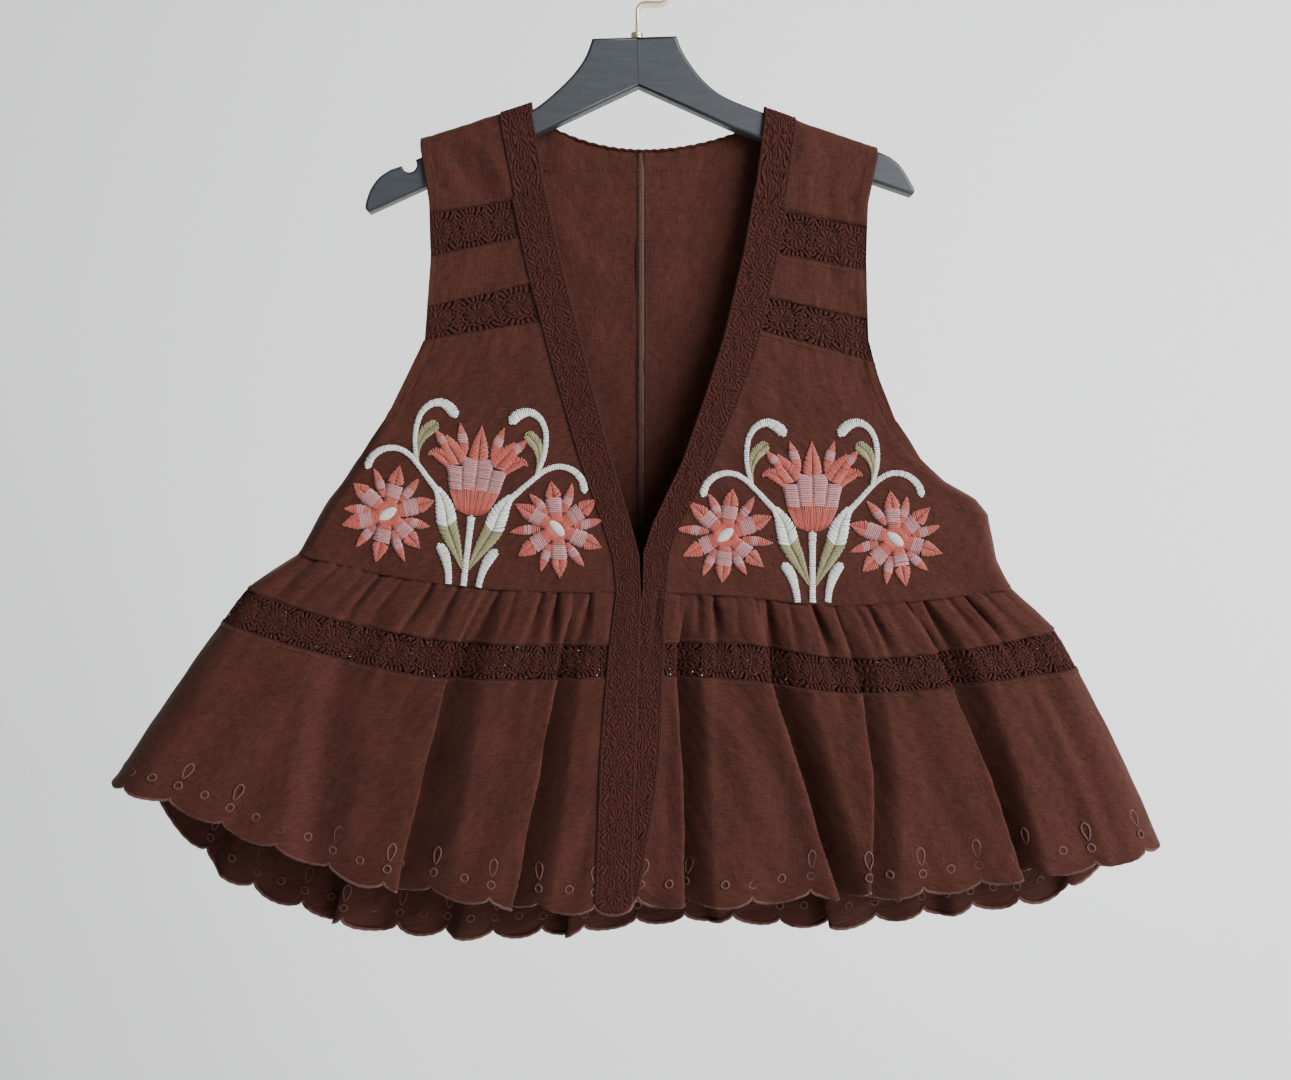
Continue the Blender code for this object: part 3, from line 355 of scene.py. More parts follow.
def shoulder_place(side, share, down):
    """The shoulder cloth: down is 0 to 1 up the front, to 2 over the hanger, to 3 behind it."""
    base, top = SEAMS[side]["yoke_top"], SEAMS[side]["fold"]
    rise = np.minimum(1, down)
    outer = read_down(ARMHOLE[side], mix(base.outer, top.outer, rise))
    inner = read_down(NECKLINE[side], mix(base.inner, top.inner, rise))
    width = np.abs(inner - outer)
    lateral = band_fit(share, width, BAND_WIDTHS[0].across) / width
    across = mix(outer, inner, lateral)
    spring = mix(top.outer, top.inner, lateral) - ARCH_RADIUS
    angle = np.clip(down - 1, 0, 1) * math.pi
    height = mix(mix(base.outer, base.inner, lateral), spring, down)
    height = np.where(down > 1, spring + ARCH_RADIUS * np.sin(angle), height)
    height = np.where(down > 2, spring - (BACK_DROP - ARCH_RADIUS) * (down - 2), height)
    forward = np.where(down > 1, ARCH_RADIUS * np.cos(angle), mix(base.depth, top.depth, rise))
    fade = smooth((1 - share) / 0.1) * smooth((1.2 - down) / 0.5)
    return across, -forward + fade * creases(side, across, height), height


def back_top(across):
    """Height of the back's upper edge: shoulder slopes, and the neck between them."""
    left, right = SEAMS["left"]["fold"], SEAMS["right"]["fold"]
    neck_left = read_down(NECKLINE["left"], left.inner)
    neck_right = read_down(NECKLINE["right"], right.inner)
    corner = np.where(across < CENTRE_BACK, neck_left, neck_right)
    inner = np.where(across < CENTRE_BACK, left.inner, right.inner)
    outer = np.where(across < CENTRE_BACK, left.outer, right.outer)
    end = np.where(across < CENTRE_BACK, ARMHOLE["left"][0].across, ARMHOLE["right"][0].across)
    neck = np.abs(across - CENTRE_BACK) / np.abs(corner - CENTRE_BACK)
    slope = (across - end) / (corner - end)
    dip = NECK_CENTRE + (inner - BACK_DROP - NECK_CENTRE) * neck * neck
    return np.where(neck < 1, dip, mix(outer, inner, slope) - BACK_DROP)


def back_waist(across):
    ring = PEPLUM["back"][0]
    return along(ring.heights, (across - ring.side) / (ring.front - ring.side))


def back_depth(down):
    return np.where(
        down <= 0, ARCH_RADIUS, mix(ARCH_RADIUS, BACK_DEPTH_WAIST, smooth(down * 0.9 + 0.05))
    )


def back_place(side, share, down):
    """A point of one half of the back, share from the armhole to the centre back seam."""
    seam = SEAMS[side]["fold"]
    ring = PEPLUM["back"][0]
    reach = ring.side if side == "left" else ring.front
    foot = back_waist(reach)
    outer_height = mix(seam.outer - BACK_DROP, foot, down)
    outer = read_down(ARMHOLE[side], outer_height)
    corner = read_down(NECKLINE[side], seam.inner)
    start = ARMHOLE[side][0].across
    corner_share = (corner - start) / (CENTRE_BACK - start)
    bend = np.where(share < 0.5, share * corner_share * 2, mix(corner_share, 1, share * 2 - 1))
    depth = back_depth(down)
    width = np.abs(CENTRE_BACK - outer)
    inward, turned = turn(BODY_CURL, depth, width, mix(bend, share, smooth(down)))
    closed = smooth((UNDERARM[side] + ARMHOLE_CLOSING - outer_height) / ARMHOLE_CLOSING)
    lateral = inward / width
    across = outer + (CENTRE_BACK - outer) * lateral
    height = mix(
        back_top(mix(start, CENTRE_BACK, lateral)),
        back_waist(mix(reach, CENTRE_BACK, lateral)),
        down,
    )
    return across, depth * (1 - closed * (1 - turned)), height


def down_rings(drops, values, drop):
    """A smooth curve through the values that a list of rings has at its drops."""
    slopes = []
    for index in range(len(drops)):
        low, high = max(0, index - 1), min(len(drops) - 1, index + 1)
        slopes.append((values[high] - values[low]) / (drops[high] - drops[low]))
    result = 0.0
    for index in range(len(drops) - 1):
        span = drops[index + 1] - drops[index]
        share = (drop - drops[index]) / span
        rise = values[index + 1] - values[index]
        piece = cubic(values[index], rise, slopes[index] * span, slopes[index + 1] * span, share)
        result = piece if index == 0 else np.where(drop > drops[index], piece, result)
    return result


def ring_at(rings, drop):
    drops = [ring.drop for ring in rings]
    return [
        down_rings(drops, [getattr(ring, name) for ring in rings], drop)
        for name in ("side", "front", "curl", "depth")
    ]


def ring_height(rings, drop, lateral):
    drops = [ring.drop for ring in rings]
    return down_rings(drops, [along(ring.heights, lateral) for ring in rings], drop)


def fold_profile(fold, distance, rise):
    """How far out a fold stands at a signed distance to the right of its roll."""
    beyond = distance - fold.drop
    middle = (fold.crest - fold.depth) / 2
    return np.select(
        [distance < -fold.reach, distance < 0, distance < fold.drop, beyond < rise],
        [
            0.0,
            fold.crest * (0.5 + 0.5 * np.cos(math.pi * distance / fold.reach)),
            middle + (fold.crest + fold.depth) / 2 * np.cos(math.pi * distance / fold.drop),
            -fold.depth * (1 - smooth(beyond / rise)),
        ],
        0.0,
    )


def fold_shift(folds, lateral, drop, width, grows):
    """(sideways, outwards) shift of the deep folds at a point of the peplum."""
    sideways = outwards = 0.0
    strength = np.interp(drop, *zip(*FOLD_STRENGTH))
    down = np.maximum(0.0, (drop - LACE_BASE) / (1 - LACE_BASE))
    for fold in folds:
        crest = mix(fold.lace, fold.hem, down)
        rise = mix(fold.rise, fold.rise_hem, down)
        out = strength * fold_profile(fold, (lateral - crest) * width * grows, rise)
        outwards = outwards + out
        sideways = sideways + fold.lean * out / (fold.crest + fold.depth)
    return sideways, outwards


# Along the drop: how deep the gathers dip, and how wide each dip is.
GATHER_DEPTHS = [(0.0, 3.4), (0.02, 5.4), (0.07, 6.8), (0.12, 5.2), (0.17, 3.0), (0.24, 2.1),
                 (0.31, 1.6), (0.42, 1.0), (0.7, 0.3), (1.0, 0.0)]
GATHER_WIDTHS = [(0.0, 1.6), (0.08, 3.0), (0.17, 5.2), (0.31, 8.0), (1.0, 16.0)]
SEAM_CREASE = 1.5
SEAM_CREASE_WIDTH = 3.0


def gather_shift(name, lateral, drop, width):
    """Outward shift of the gathers: ridges with a steep right side, dips that rise slowly again."""
    if name == "back":
        dips = np.linspace(0, 1, 41) + 0.007 * np.sin(np.arange(41) * 2.3)
    else:
        ring = PEPLUM[name][0]
        dips = np.sort((np.array(DIPS[name]) - ring.side) / (ring.front - ring.side))
    lean = 0.004 * np.sin(lateral * 47) * smooth(drop / 0.15)
    place = np.clip(lateral + lean, dips[0], dips[-1])
    index = np.clip(np.searchsorted(dips, place) - 1, 0, len(dips) - 2)
    spread = np.interp(drop, *zip(*GATHER_WIDTHS))
    right = -1 if name == "right" else 1
    total = np.zeros(np.shape(place))
    for near in (index, index + 1):
        strength = 0.62 + 0.42 * np.sin(near * 2.4 + 1) + 0.2 * np.sin(near * 5.3)
        away = (place - dips[near]) * width * right
        total = total + strength * np.exp(-((away / (spread * np.where(away < 0, 0.5, 1.45))) ** 2))
    depth = np.interp(drop, *zip(*GATHER_DEPTHS))
    tucks = 0.45 * np.sin(lateral * width / 1.5) * smooth(1 - drop / 0.035)
    crease = SEAM_CREASE * np.exp(-((drop * PEPLUM_LENGTH / SEAM_CREASE_WIDTH) ** 2))
    return depth * (0.35 - total) + tucks - crease


def scallop(place):
    """How far the edge rises above the lobes' lowest line, one lobe to each whole number."""
    inside = 2 * (place - np.floor(place)) - 1
    wave = 0.45 * np.abs(np.sin(math.pi * 6 * place))
    return SCALLOP_DEPTH * (1 - np.sqrt(np.maximum(0.0, 1 - inside * inside))) - wave


def peplum_point(name, share, drop, lobes):
    """A point of the peplum; the hem has the given number of lobes, or is straight with none."""
    rings = PEPLUM[name]
    if lobes:
        drop = drop - scallop(share * lobes) / PEPLUM_LENGTH * smooth((drop - 0.9) / 0.1)
    start, end, curl, depth = ring_at(rings, drop)
    back = name == "back"
    toward = -1 if name == "right" else 1
    width = np.abs(end - start)
    if back:
        half = width / 2
        inward, turned = turn(curl, depth, half, np.minimum(share, 1 - share) * 2)
        lateral = inward / width
        lateral = np.where(share <= 0.5, lateral, 1 - lateral)
        calm = smooth(inward / (2 * curl))
    else:
        band = read_down(BAND_WIDTHS, ring_height(rings, drop, 1.0))
        inward, turned = turn(curl, depth, width, share, band)
        lateral = inward / width
        calm = smooth((width - inward - 29) / 12) * smooth(inward / (2 * curl))
    sideways, outwards = fold_shift(FOLDS[name], lateral, drop, width, toward)
    held = np.maximum(calm, 0.35 * smooth(inward / (2 * curl)))
    outwards = outwards * calm + gather_shift(name, lateral, drop, width) * held
    height = ring_height(rings, drop, lateral)
    loose = smooth((drop - LACE_BASE) / 0.5) * calm
    seed = {"left": 3, "right": 5, "back": 8}[name]
    outwards = outwards + 1.3 * loose * rumple(lateral * width, 0.16 * height, 34, seed)
    across = (start + width * lateral if back else start + toward * inward) + sideways * calm
    if back:
        return across, depth * turned + outwards, height
    shift = layer_shift(name, height, width - inward)
    return across, shift - depth * turned - outwards, height


class Surface:
    """A sewn surface: place(share, down) in millimetres, and the way its outside faces."""

    def __init__(self, place, outside, span):
        self.place = place
        self.outside = outside
        self.width, self.length = span

    def point(self, share, down):
        share, down = np.broadcast_arrays(np.asarray(share, float), np.asarray(down, float))
        return np.stack(np.broadcast_arrays(*self.place(share, down)), -1)

    def frame(self, share, down):
        """(points, outward normals, millimetres to a whole share, millimetres to a whole down)."""
        here = self.point(share, down)
        step_share, step_down = 0.6 / self.width, 0.6 / self.length
        sideways = self.point(share + step_share, down) - self.point(share - step_share, down)
        lower = self.point(share, down + step_down) - self.point(share, down - step_down)
        normal = np.cross(sideways, lower) * self.outside
        normal /= np.maximum(1e-9, np.linalg.norm(normal, axis=-1, keepdims=True))
        across = np.linalg.norm(sideways, axis=-1) / (2 * step_share)
        return here, normal, across, np.linalg.norm(lower, axis=-1) / (2 * step_down)

    def at(self, share, down, lift=0.0):
        """Points of the surface, moved out along its normal by lift."""
        here, normal, _, _ = self.frame(share, down)
        return here + normal * np.asarray(lift, float)[..., None]


def neck_place(share, down):
    """The run of the lace band round the back of the neck, on the outside."""
    left = read_down(NECKLINE["left"], SEAMS["left"]["fold"].inner) + 1
    right = read_down(NECKLINE["right"], SEAMS["right"]["fold"].inner) - 1
    across = mix(left, right, share)
    top = back_top(across)
    height = top + BAND_EDGE_RISE - BAND_BACK_WIDTH * down
    fall = (top - height) / (top - back_waist(across))
    depth = mix(ARCH_RADIUS, BACK_DEPTH_WAIST, smooth(np.maximum(0, fall) * 0.9 + 0.05))
    return across, depth, height


# The parts of a front between two seams, from the top down.
FRONT_PARTS = (
    ("yoke_upper", "yoke_top", "yoke_upper"), ("yoke_strip", "yoke_upper", "yoke_lower"),
    ("yoke_lower", "yoke_lower", "yoke_base"), ("front", "yoke_base", "waist"),
)


def open_surfaces():
    """Every sewn surface of the top, by name."""
    found = {}
    for side, way in (("left", 1), ("right", -1)):
        found[f"shoulder_{side}"] = Surface(
            lambda u, v, s=side: shoulder_place(s, u, v), way, SPANS["shoulder"]
        )
        for part, upper, lower in FRONT_PARTS:
            found[f"{part}_{side}"] = Surface(
                lambda u, v, seams=(side, upper, lower): front_place(*seams, u, v), -way,
                SPANS[part],
            )
        found[f"back_{side}"] = Surface(
            lambda u, v, s=side: back_place(s, u, v), way, SPANS["back"]
        )
        for kind, lobes in (("peplum", SCALLOPS), ("plain", 0)):
            found[f"{kind}_{side}"] = Surface(
                lambda u, v, s=side, n=lobes: peplum_point(s, u, v, n), -way, SPANS["peplum"]
            )
        found[f"band_{side}"] = band_surface(side, found)
    for kind, lobes in (("peplum", 2 * SCALLOPS), ("plain", 0)):
        found[f"{kind}_back"] = Surface(
            lambda u, v, n=lobes: peplum_point("back", u, v, n), 1, SPANS["peplum_back"]
        )
    found["neck"] = Surface(neck_place, 1, SPANS["neck"])
    return found


BAND_SPAN = 27
# The parts that a band runs down, and between which shares of each.
BAND_RUNS = (
    ("shoulder", 3.0, 0.0), ("yoke_upper", 0.0, 1.0), ("yoke_strip", 0.0, 1.0),
    ("yoke_lower", 0.0, 1.0), ("front", 0.0, 1.0), ("peplum", 0.0, BAND_HEM),
)


def band_surface(side, surfaces):
    """The front edge's band: share from its inner edge to the neckline, down all its length."""
    runs, total = [], 0.0
    for name, start, end in BAND_RUNS:
        surface = surfaces[f"{name}_{side}"]
        steps = surface.point(0.96, np.linspace(start, end, 60))
        length = np.linalg.norm(np.diff(steps, axis=0), axis=-1).sum()
        runs.append((surface, start, end, total, length))
        total += length

    def place(share, down):
        share, down = np.broadcast_arrays(share, down)
        inward = mix(BAND_FROM, 1.0, share)
        reach = down * total
        result = np.zeros((3,) + reach.shape)
        for surface, start, end, before, length in runs:
            part = mix(start, end, (reach - before) / length)
            here = np.stack(np.broadcast_arrays(*surface.place(inward, part)))
            result = np.where((reach >= before) | (before == 0), here, result)
        return tuple(result)

    return Surface(place, -1 if side == "left" else 1, (BAND_SPAN, total))


# Painted shade and painted highlight: thread is coloured darker down at the sides of a stitch and
# lighter on its crest.
PAINTED_STITCH_SHADES = (0.42, 1.12, 0.42)


class Strands:
    """Raised cords gathered into one mesh. Flat ones lie in x along, y down and z out."""

    def __init__(self):
        self.points, self.faces, self.ends, self.colours, self.count = [], [], [], [], 0
        self.fullness = 1.0

    def add(self, paths, half, low=0.0, rise=0.5, normals=(0.0, 0.0, 1.0), loop=False, colour=None):
        """Adds a batch of paths of equal steps, half as wide as half and rise high above low."""
        paths = np.asarray(paths, float)
        if paths.ndim == 2:
            paths = paths[None]
        if paths.shape[-1] == 2:
            paths = np.concatenate([paths, np.zeros(paths.shape[:2] + (1,))], -1)
        normals = np.broadcast_to(normals, paths.shape)
        before, after = np.roll(paths, 1, 1), np.roll(paths, -1, 1)
        if not loop:
            before[:, 0], after[:, -1] = paths[:, 0], paths[:, -1]
        heading = after - before
        heading /= np.maximum(1e-9, np.linalg.norm(heading, axis=-1, keepdims=True))
        half = np.broadcast_to(half, paths.shape[:2])[..., None] * self.fullness
        aside = np.cross(normals, heading) * half
        foot = paths + normals * np.broadcast_to(low, paths.shape[:2])[..., None]
        rise = np.broadcast_to(rise, paths.shape[:2])[..., None] / self.fullness ** 2
        crest = foot + normals * rise
        index = np.arange(paths.shape[0] * paths.shape[1] * 3).reshape(paths.shape[:2] + (3,))
        index += self.count
        here, there = (index, np.roll(index, -1, 1)) if loop else (index[:, :-1], index[:, 1:])
        faces = np.stack([here, there, np.roll(there, -1, 2), np.roll(here, -1, 2)], -1)
        self.points.append(np.stack([foot - aside, crest, foot + aside], 2).reshape(-1, 3))
        self.faces.append(faces.reshape(-1, 4))
        if not loop:
            self.ends += [index[:, 0], index[:, -1, ::-1]]
        if colour is not None:
            colour = np.broadcast_to(np.asarray(colour, float), (paths.shape[0], 3))
            # The stitch's dye, darkened at its sides as painted shade and lightened on its crest as
            # painted highlight.
            painted_shade = np.tile(PAINTED_STITCH_SHADES, paths.shape[0] * paths.shape[1])[:, None]
            self.colours.append(np.repeat(colour, paths.shape[1] * 3, axis=0) * painted_shade)
        self.count += paths.shape[0] * paths.shape[1] * 3

    def joined(self):
        """All the points, and the faces as four-sided and three-sided ones."""
        ends = self.ends or [np.zeros((0, 3), int)]
        return np.concatenate(self.points), [np.concatenate(self.faces), np.concatenate(ends)]

    def colour_rows(self):
        return np.concatenate(self.colours) if self.colours else None


def add_object(name, data):
    made = bpy.data.objects.new(name, data)
    bpy.context.scene.collection.objects.link(made)
    return made


def stand_in(obj, nodes=()):
    """Hides the solids that a piece is seen instead of, and hands the piece back."""
    if nodes:
        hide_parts(*nodes)
    return obj


def build(name, points, faces, finish, wall=None, weave=None, colours=None):
    """A piece from points in millimetres, with an even wall where one is given."""
    mesh = bpy.data.meshes.new(name)
    points = np.asarray(points, float).reshape(-1, 3) * MM
    faces = faces if isinstance(faces, list) else [faces]
    mesh.from_pydata(points.tolist(), [], [face for kind in faces for face in kind.tolist()])
    mesh.polygons.foreach_set("use_smooth", [True] * len(mesh.polygons))
    if weave is not None:
        corners = np.empty(len(mesh.loops), int)
        mesh.loops.foreach_get("vertex_index", corners)
        layer = mesh.uv_layers.new(name="cut")
        flat = np.asarray(weave, float).reshape(-1, 2) * MM
        layer.data.foreach_set("uv", flat[corners].ravel())
    if colours is not None:
        layer = mesh.color_attributes.new("thread", "FLOAT_COLOR", "POINT")
        rgba = np.ones((len(points), 4))
        rgba[:, :3] = colours
        layer.data.foreach_set("color", rgba.ravel())
    mesh.update()
    obj = add_object(name, mesh)
    mesh.materials.append(finish)
    if wall:
        solid = obj.modifiers.new("wall", "SOLIDIFY")
        solid.thickness = wall
        solid.offset = 0
    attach(obj, "root")
    return obj


def grid_faces(rows, columns, flip):
    start = (np.arange(rows - 1)[:, None] * columns + np.arange(columns - 1)).ravel()
    faces = np.stack([start, start + columns, start + columns + 1, start + 1], -1)
    return faces[:, ::-1] if flip else faces


def row_lengths(points):
    """How far each point of a grid is along its row, in millimetres."""
    steps = np.linalg.norm(np.diff(points, axis=1), axis=-1)
    return np.concatenate([np.zeros((len(points), 1)), np.cumsum(steps, 1)], 1)


def declare(points, held, area=None):
    """Works out a sheet's length down its grid, and its area from the grid unless one is given;
    neither is used.
    """
    down = row_lengths(points.transpose(1, 0, 2))[:, -1].max() * MM
    if area is None:
        sides = points[1:, :-1] - points[:-1, :-1], points[:-1, 1:] - points[:-1, :-1]
        area = np.linalg.norm(np.cross(*sides), axis=-1).sum() * MM * MM


Edges = namedtuple("Edges", "first last top bottom")


# How far a folded edge stands proud of the single cloth, and how wide its step down is.
FOLD_RISE = 0.42
FOLD_STEP = 1.2
# The cloth's small waves and large ones: how high, and from crest to crest.
WAVES = ((0.16, 12), (0.8, 42))
# The puckers along a turned edge: how high, how long and how far in they reach.
PUCKER, PUCKER_PITCH, PUCKER_REACH = 0.3, 8, 12


def turned_edge(distance, width):
    """How much a folded edge of the given width stands proud of the single cloth."""
    return FOLD_RISE * smooth((width - distance) / FOLD_STEP + 0.5)


def cloth(panel, side, surfaces, wall):
    """A cotton panel with its wall, its turned edges, the puckers along its seams and its crinkle.

    turned are the widths of the folds along its first and last columns and its top and bottom
    rows; 0 is a plain edge.
    """
    name = "cloth_" + panel.part.format(side)
    surface = surfaces[panel.surface.format(side)]
    columns, rows = (steps + 1 for steps in panel.steps)
    share, down = np.meshgrid(
        np.linspace(*panel.shares, columns), np.linspace(*panel.downs, rows)
    )
    plain = surface.point(share, down)
    across = row_lengths(plain)
    along_cut = row_lengths(plain.transpose(1, 0, 2)).T
    away = Edges(across, across[:, -1:] - across, along_cut, along_cut[-1:] - along_cut)
    seed = sum(map(ord, name))
    (low, short), (high, long) = WAVES
    lift = low * rumple(across, along_cut * 0.4, short, seed)
    lift = lift + high * rumple(across, along_cut * 0.7, long, seed + 1) * smooth(across / 25)
    if panel.shares[1] == UNDER_BAND:
        lift = lift * smooth((away.last - 20) / 12)
    pucker = rumple(across, along_cut * 0.15, PUCKER_PITCH, seed + 2)
    for width, distance in zip(panel.turned, away):
        if width:
            lift = lift + turned_edge(distance, width)
            near = smooth((width + PUCKER_REACH - distance) / PUCKER_REACH)
            lift = lift + PUCKER * pucker * near
    points = surface.at(share, down, lift)
    faces = grid_faces(rows, columns, surface.outside > 0)
    weave = np.stack([across, along_cut], -1)
    obj = build(name, points, faces, finish("cotton"), wall, weave)
    declare(points, panel.held)
    stand_in(obj, [panel.node.format(side)])


class Wire:
    """A shader socket that takes part in sums and products."""

    def __init__(self, owner, socket):
        self.owner = owner
        self.socket = socket

    def maths(self, operation, first, second):
        return self.owner.node("ShaderNodeMath", {"operation": operation}, {0: first, 1: second})

    def __add__(self, other):
        return self.maths("ADD", self, other)

    def __sub__(self, other):
        return self.maths("SUBTRACT", self, other)

    def __rsub__(self, other):
        return self.maths("SUBTRACT", other, self)

    def __mul__(self, other):
        return self.maths("MULTIPLY", self, other)

    def __pow__(self, other):
        return self.maths("POWER", self, other)

    __radd__ = __add__
    __rmul__ = __mul__


class Shader:
    """A material in the making: its nodes, and the Principled shader that they feed."""

    def __init__(self, name, constants):
        self.material = bpy.data.materials.new(name)
        self.material.use_nodes = True
        self.tree = self.material.node_tree
        self.principled = self.tree.nodes["Principled BSDF"]
        for socket, value in constants.items():
            self.principled.inputs[socket].default_value = value

    def node(self, kind, settings=None, sockets=None, output=0):
        """The output of a new node: its settings first, then the values or links it takes."""
        made = self.tree.nodes.new(kind)
        for name, value in (settings or {}).items():
            setattr(made, name, value)
        for name, value in (sockets or {}).items():
            if isinstance(value, Wire):
                self.tree.links.new(value.socket, made.inputs[name])
            else:
                made.inputs[name].default_value = value
        return Wire(self, made.outputs[output])

    def place(self):
        return self.node("ShaderNodeTexCoord", output="Object")

    def depth_facing(self):
        """How far the surface faces along Y, from -1 to 1."""
        normal = self.node("ShaderNodeTexCoord", output="Normal")
        return self.node("ShaderNodeSeparateXYZ", sockets={0: normal}, output=1)

    def stretched(self, vector, factors):
        return self.node("ShaderNodeVectorMath", {"operation": "MULTIPLY"}, {0: vector, 1: factors})

    def noise(self, vector, scale, detail=2.0, roughness=0.5):
        return self.node(
            "ShaderNodeTexNoise", {},
            {"Vector": vector, "Scale": scale, "Detail": detail, "Roughness": roughness},
        )

    def between(self, share, first, second):
        """A colour between two others."""
        first = first if isinstance(first, Wire) else (*first, 1.0)
        second = second if isinstance(second, Wire) else (*second, 1.0)
        return self.node(
            "ShaderNodeMix", {"data_type": "RGBA"}, {0: share, 6: first, 7: second}, output=2
        )

    def bump(self, height, distance, under=None):
        sockets = {"Height": height, "Distance": distance, "Strength": 1.0}
        if under is not None:
            sockets["Normal"] = under
        return self.node("ShaderNodeBump", {}, sockets)

    def feed(self, **wires):
        for name, wire in wires.items():
            socket = self.principled.inputs[name.replace("_", " ").title()]
            self.tree.links.new(wire.socket, socket)
        return self.material


def shades(colour, darker, lighter):
    return [tuple(channel * factor for channel in colour[:3]) for factor in (darker, lighter)]


def cotton_finish(colours):
    """Washed plain-weave cotton: slubbed threads, a soft crumple whose low parts are painted darker
    as shade, and a slightly uneven dye.
    """
    made = Shader("washed_cotton", {
        "Specular IOR Level": 0.15, "Sheen Weight": 0.12, "Sheen Roughness": 0.45,
        "Sheen Tint": (0.75, 0.45, 0.36, 1.0),
    })
    cut, place = made.node("ShaderNodeUVMap", {"uv_map": "cut"}), made.place()
    warp = made.noise(made.stretched(cut, (760, 130, 1)), 1.0, 3.0)
    weft = made.noise(made.stretched(cut, (120, 760, 1)), 1.0, 3.0)
    crumple = made.noise(made.stretched(cut, (1.0, 0.8, 1)), 85.0, 4.0, 0.6)
    dye = made.noise(place, 26.0, 5.0, 0.65)
    threads = (warp + weft) * 0.5
    # Painted shade: the crumple that bumps the cloth also darkens its base colour where it is low.
    tone = threads * 2.1 + crumple * 0.4 + dye * 0.45 - 0.98
    dark, light = shades(colours.cotton, 0.45, 1.55)
    fine = made.bump(threads, 0.0006)
    return made.feed(
        base_color=made.between(tone, dark, light),
        roughness=0.98 - threads * 0.2,
        normal=made.bump(crumple, 0.0014, fine),
    )


def lining_finish(colours):
    """The cotton under the lace bands, in the lace's shade and without its nap."""
    made = Shader("band_lining", {"Specular IOR Level": 0.15})
    threads = made.noise(made.place(), 900.0, 2.0)
    dark, light = shades(colours.lace, 0.6, 1.8)
    return made.feed(
        base_color=made.between(threads, dark, light),
        roughness=0.98 - threads * 0.1,
        normal=made.bump(threads, 0.0004),
    )


def lace_finish(colours):
    """Matt cotton lace thread: plied cords, their colour darkened where the plies' bump is low, as
    painted shade.
    """
    made = Shader("cotton_lace", {
        "Specular IOR Level": 0.1, "Sheen Weight": 0.08, "Sheen Roughness": 0.5,
        "Sheen Tint": (0.75, 0.38, 0.30, 1.0),
    })
    place = made.place()
    plies = made.noise(place, 1300.0, 1.0)
    # Painted shade: the plies that bump the thread darken its colour where they are low.
    tone = plies * 0.9 + made.noise(place, 60.0, 3.0) * 0.5 - 0.2
    dark, light = shades(colours.lace, 0.55, 1.45)
    return made.feed(
        base_color=made.between(tone, dark, light),
        roughness=0.95 - plies * 0.25,
        normal=made.bump(plies, 0.0005),
    )


def thread_finish(colours):
    """Stranded embroidery cotton in the colour that each stitch carries, which holds the painted
    shade of its sides and the painted highlight of its crest.
    """
    made = Shader("embroidery_thread", {
        "Specular IOR Level": 0.4, "Sheen Weight": 0.2, "Sheen Roughness": 0.4,
    })
    place = made.place()
    dyed = made.node("ShaderNodeAttribute", {"attribute_name": "thread"})
    strands = made.noise(place, 1600.0, 1.0)
    patchy = made.noise(place, 120.0, 2.0)
    shaded = made.node(
        "ShaderNodeVectorMath", {"operation": "MULTIPLY"}, {0: dyed, 1: (0.68, 0.66, 0.66)}
    )
    return made.feed(
        base_color=made.between(strands * 0.7 + patchy * 0.6 - 0.1, shaded, dyed),
        roughness=0.72 - strands * 0.25,
        normal=made.bump(strands, 0.0003),
    )


def corded(name, colour):
    """A slightly shiny sewing thread."""
    made = Shader(name, {"Specular IOR Level": 0.25, "Sheen Weight": 0.04})
    place = made.place()
    strands = made.noise(place, 1500.0, 1.0)
    dark, light = shades(colour, 0.6, 1.3)
    return made.feed(
        base_color=made.between(strands * 0.8 + made.noise(place, 90.0) * 0.4 - 0.1, dark, light),
        roughness=0.7 - strands * 0.25,
        normal=made.bump(strands, 0.0004),
    )


def hem_finish(colours):
    """The paler thread of the stitched hem."""
    return corded("hem_thread", colours.hem)


def serging_finish(colours):
    """The thread of the topstitching and of the centre back seam, warmer than the cloth."""
    return corded("serging_thread", colours.serging)


def board_finish(colours):
    """Satin charcoal paint over wood: a faint grain, small scuffs and painted shade along the
    rounded edges.
    """
    made = Shader("charcoal_paint", {"Specular IOR Level": 0.5, "Coat Roughness": 0.35})
    place = made.place()
    grain = made.noise(made.stretched(place, (30, 60, 420)), 1.0, 4.0, 0.6)
    scuffs = made.noise(place, 260.0, 4.0, 0.7) ** 3.0
    # Painted shade: the rounded edges, which face half along Y, darken the base colour.
    facing = made.depth_facing() ** 2.0
    painted_edge_shade = facing * (1.0 - facing) * 4.0
    dark, light = shades(colours.board, 0.12, 1.25)
    return made.feed(
        base_color=made.between((grain * 0.3 + scuffs * 0.3 + 0.5) * (1.0 - painted_edge_shade), dark, light),
        roughness=0.36 + grain * 0.2 + scuffs * 0.3,
        normal=made.bump(grain * 0.6 + scuffs * 0.4, 0.00025),
    )


def brass_finish(colours):
    """Bright brass plate, a little tarnished in patches."""
    made = Shader("brass_plate", {"Metallic": 1.0})
    place = made.place()
    tarnish = made.noise(place, 150.0, 4.0, 0.6)
    brushed = made.noise(made.stretched(place, (2500, 200, 200)), 1.0, 2.0)
    dark, light = shades(colours.brass, 0.7, 1.1)
    return made.feed(
        base_color=made.between(tarnish, dark, light),
        roughness=0.2 + tarnish * 0.15 + brushed * 0.1,
        normal=made.bump(brushed, 0.00005),
    )


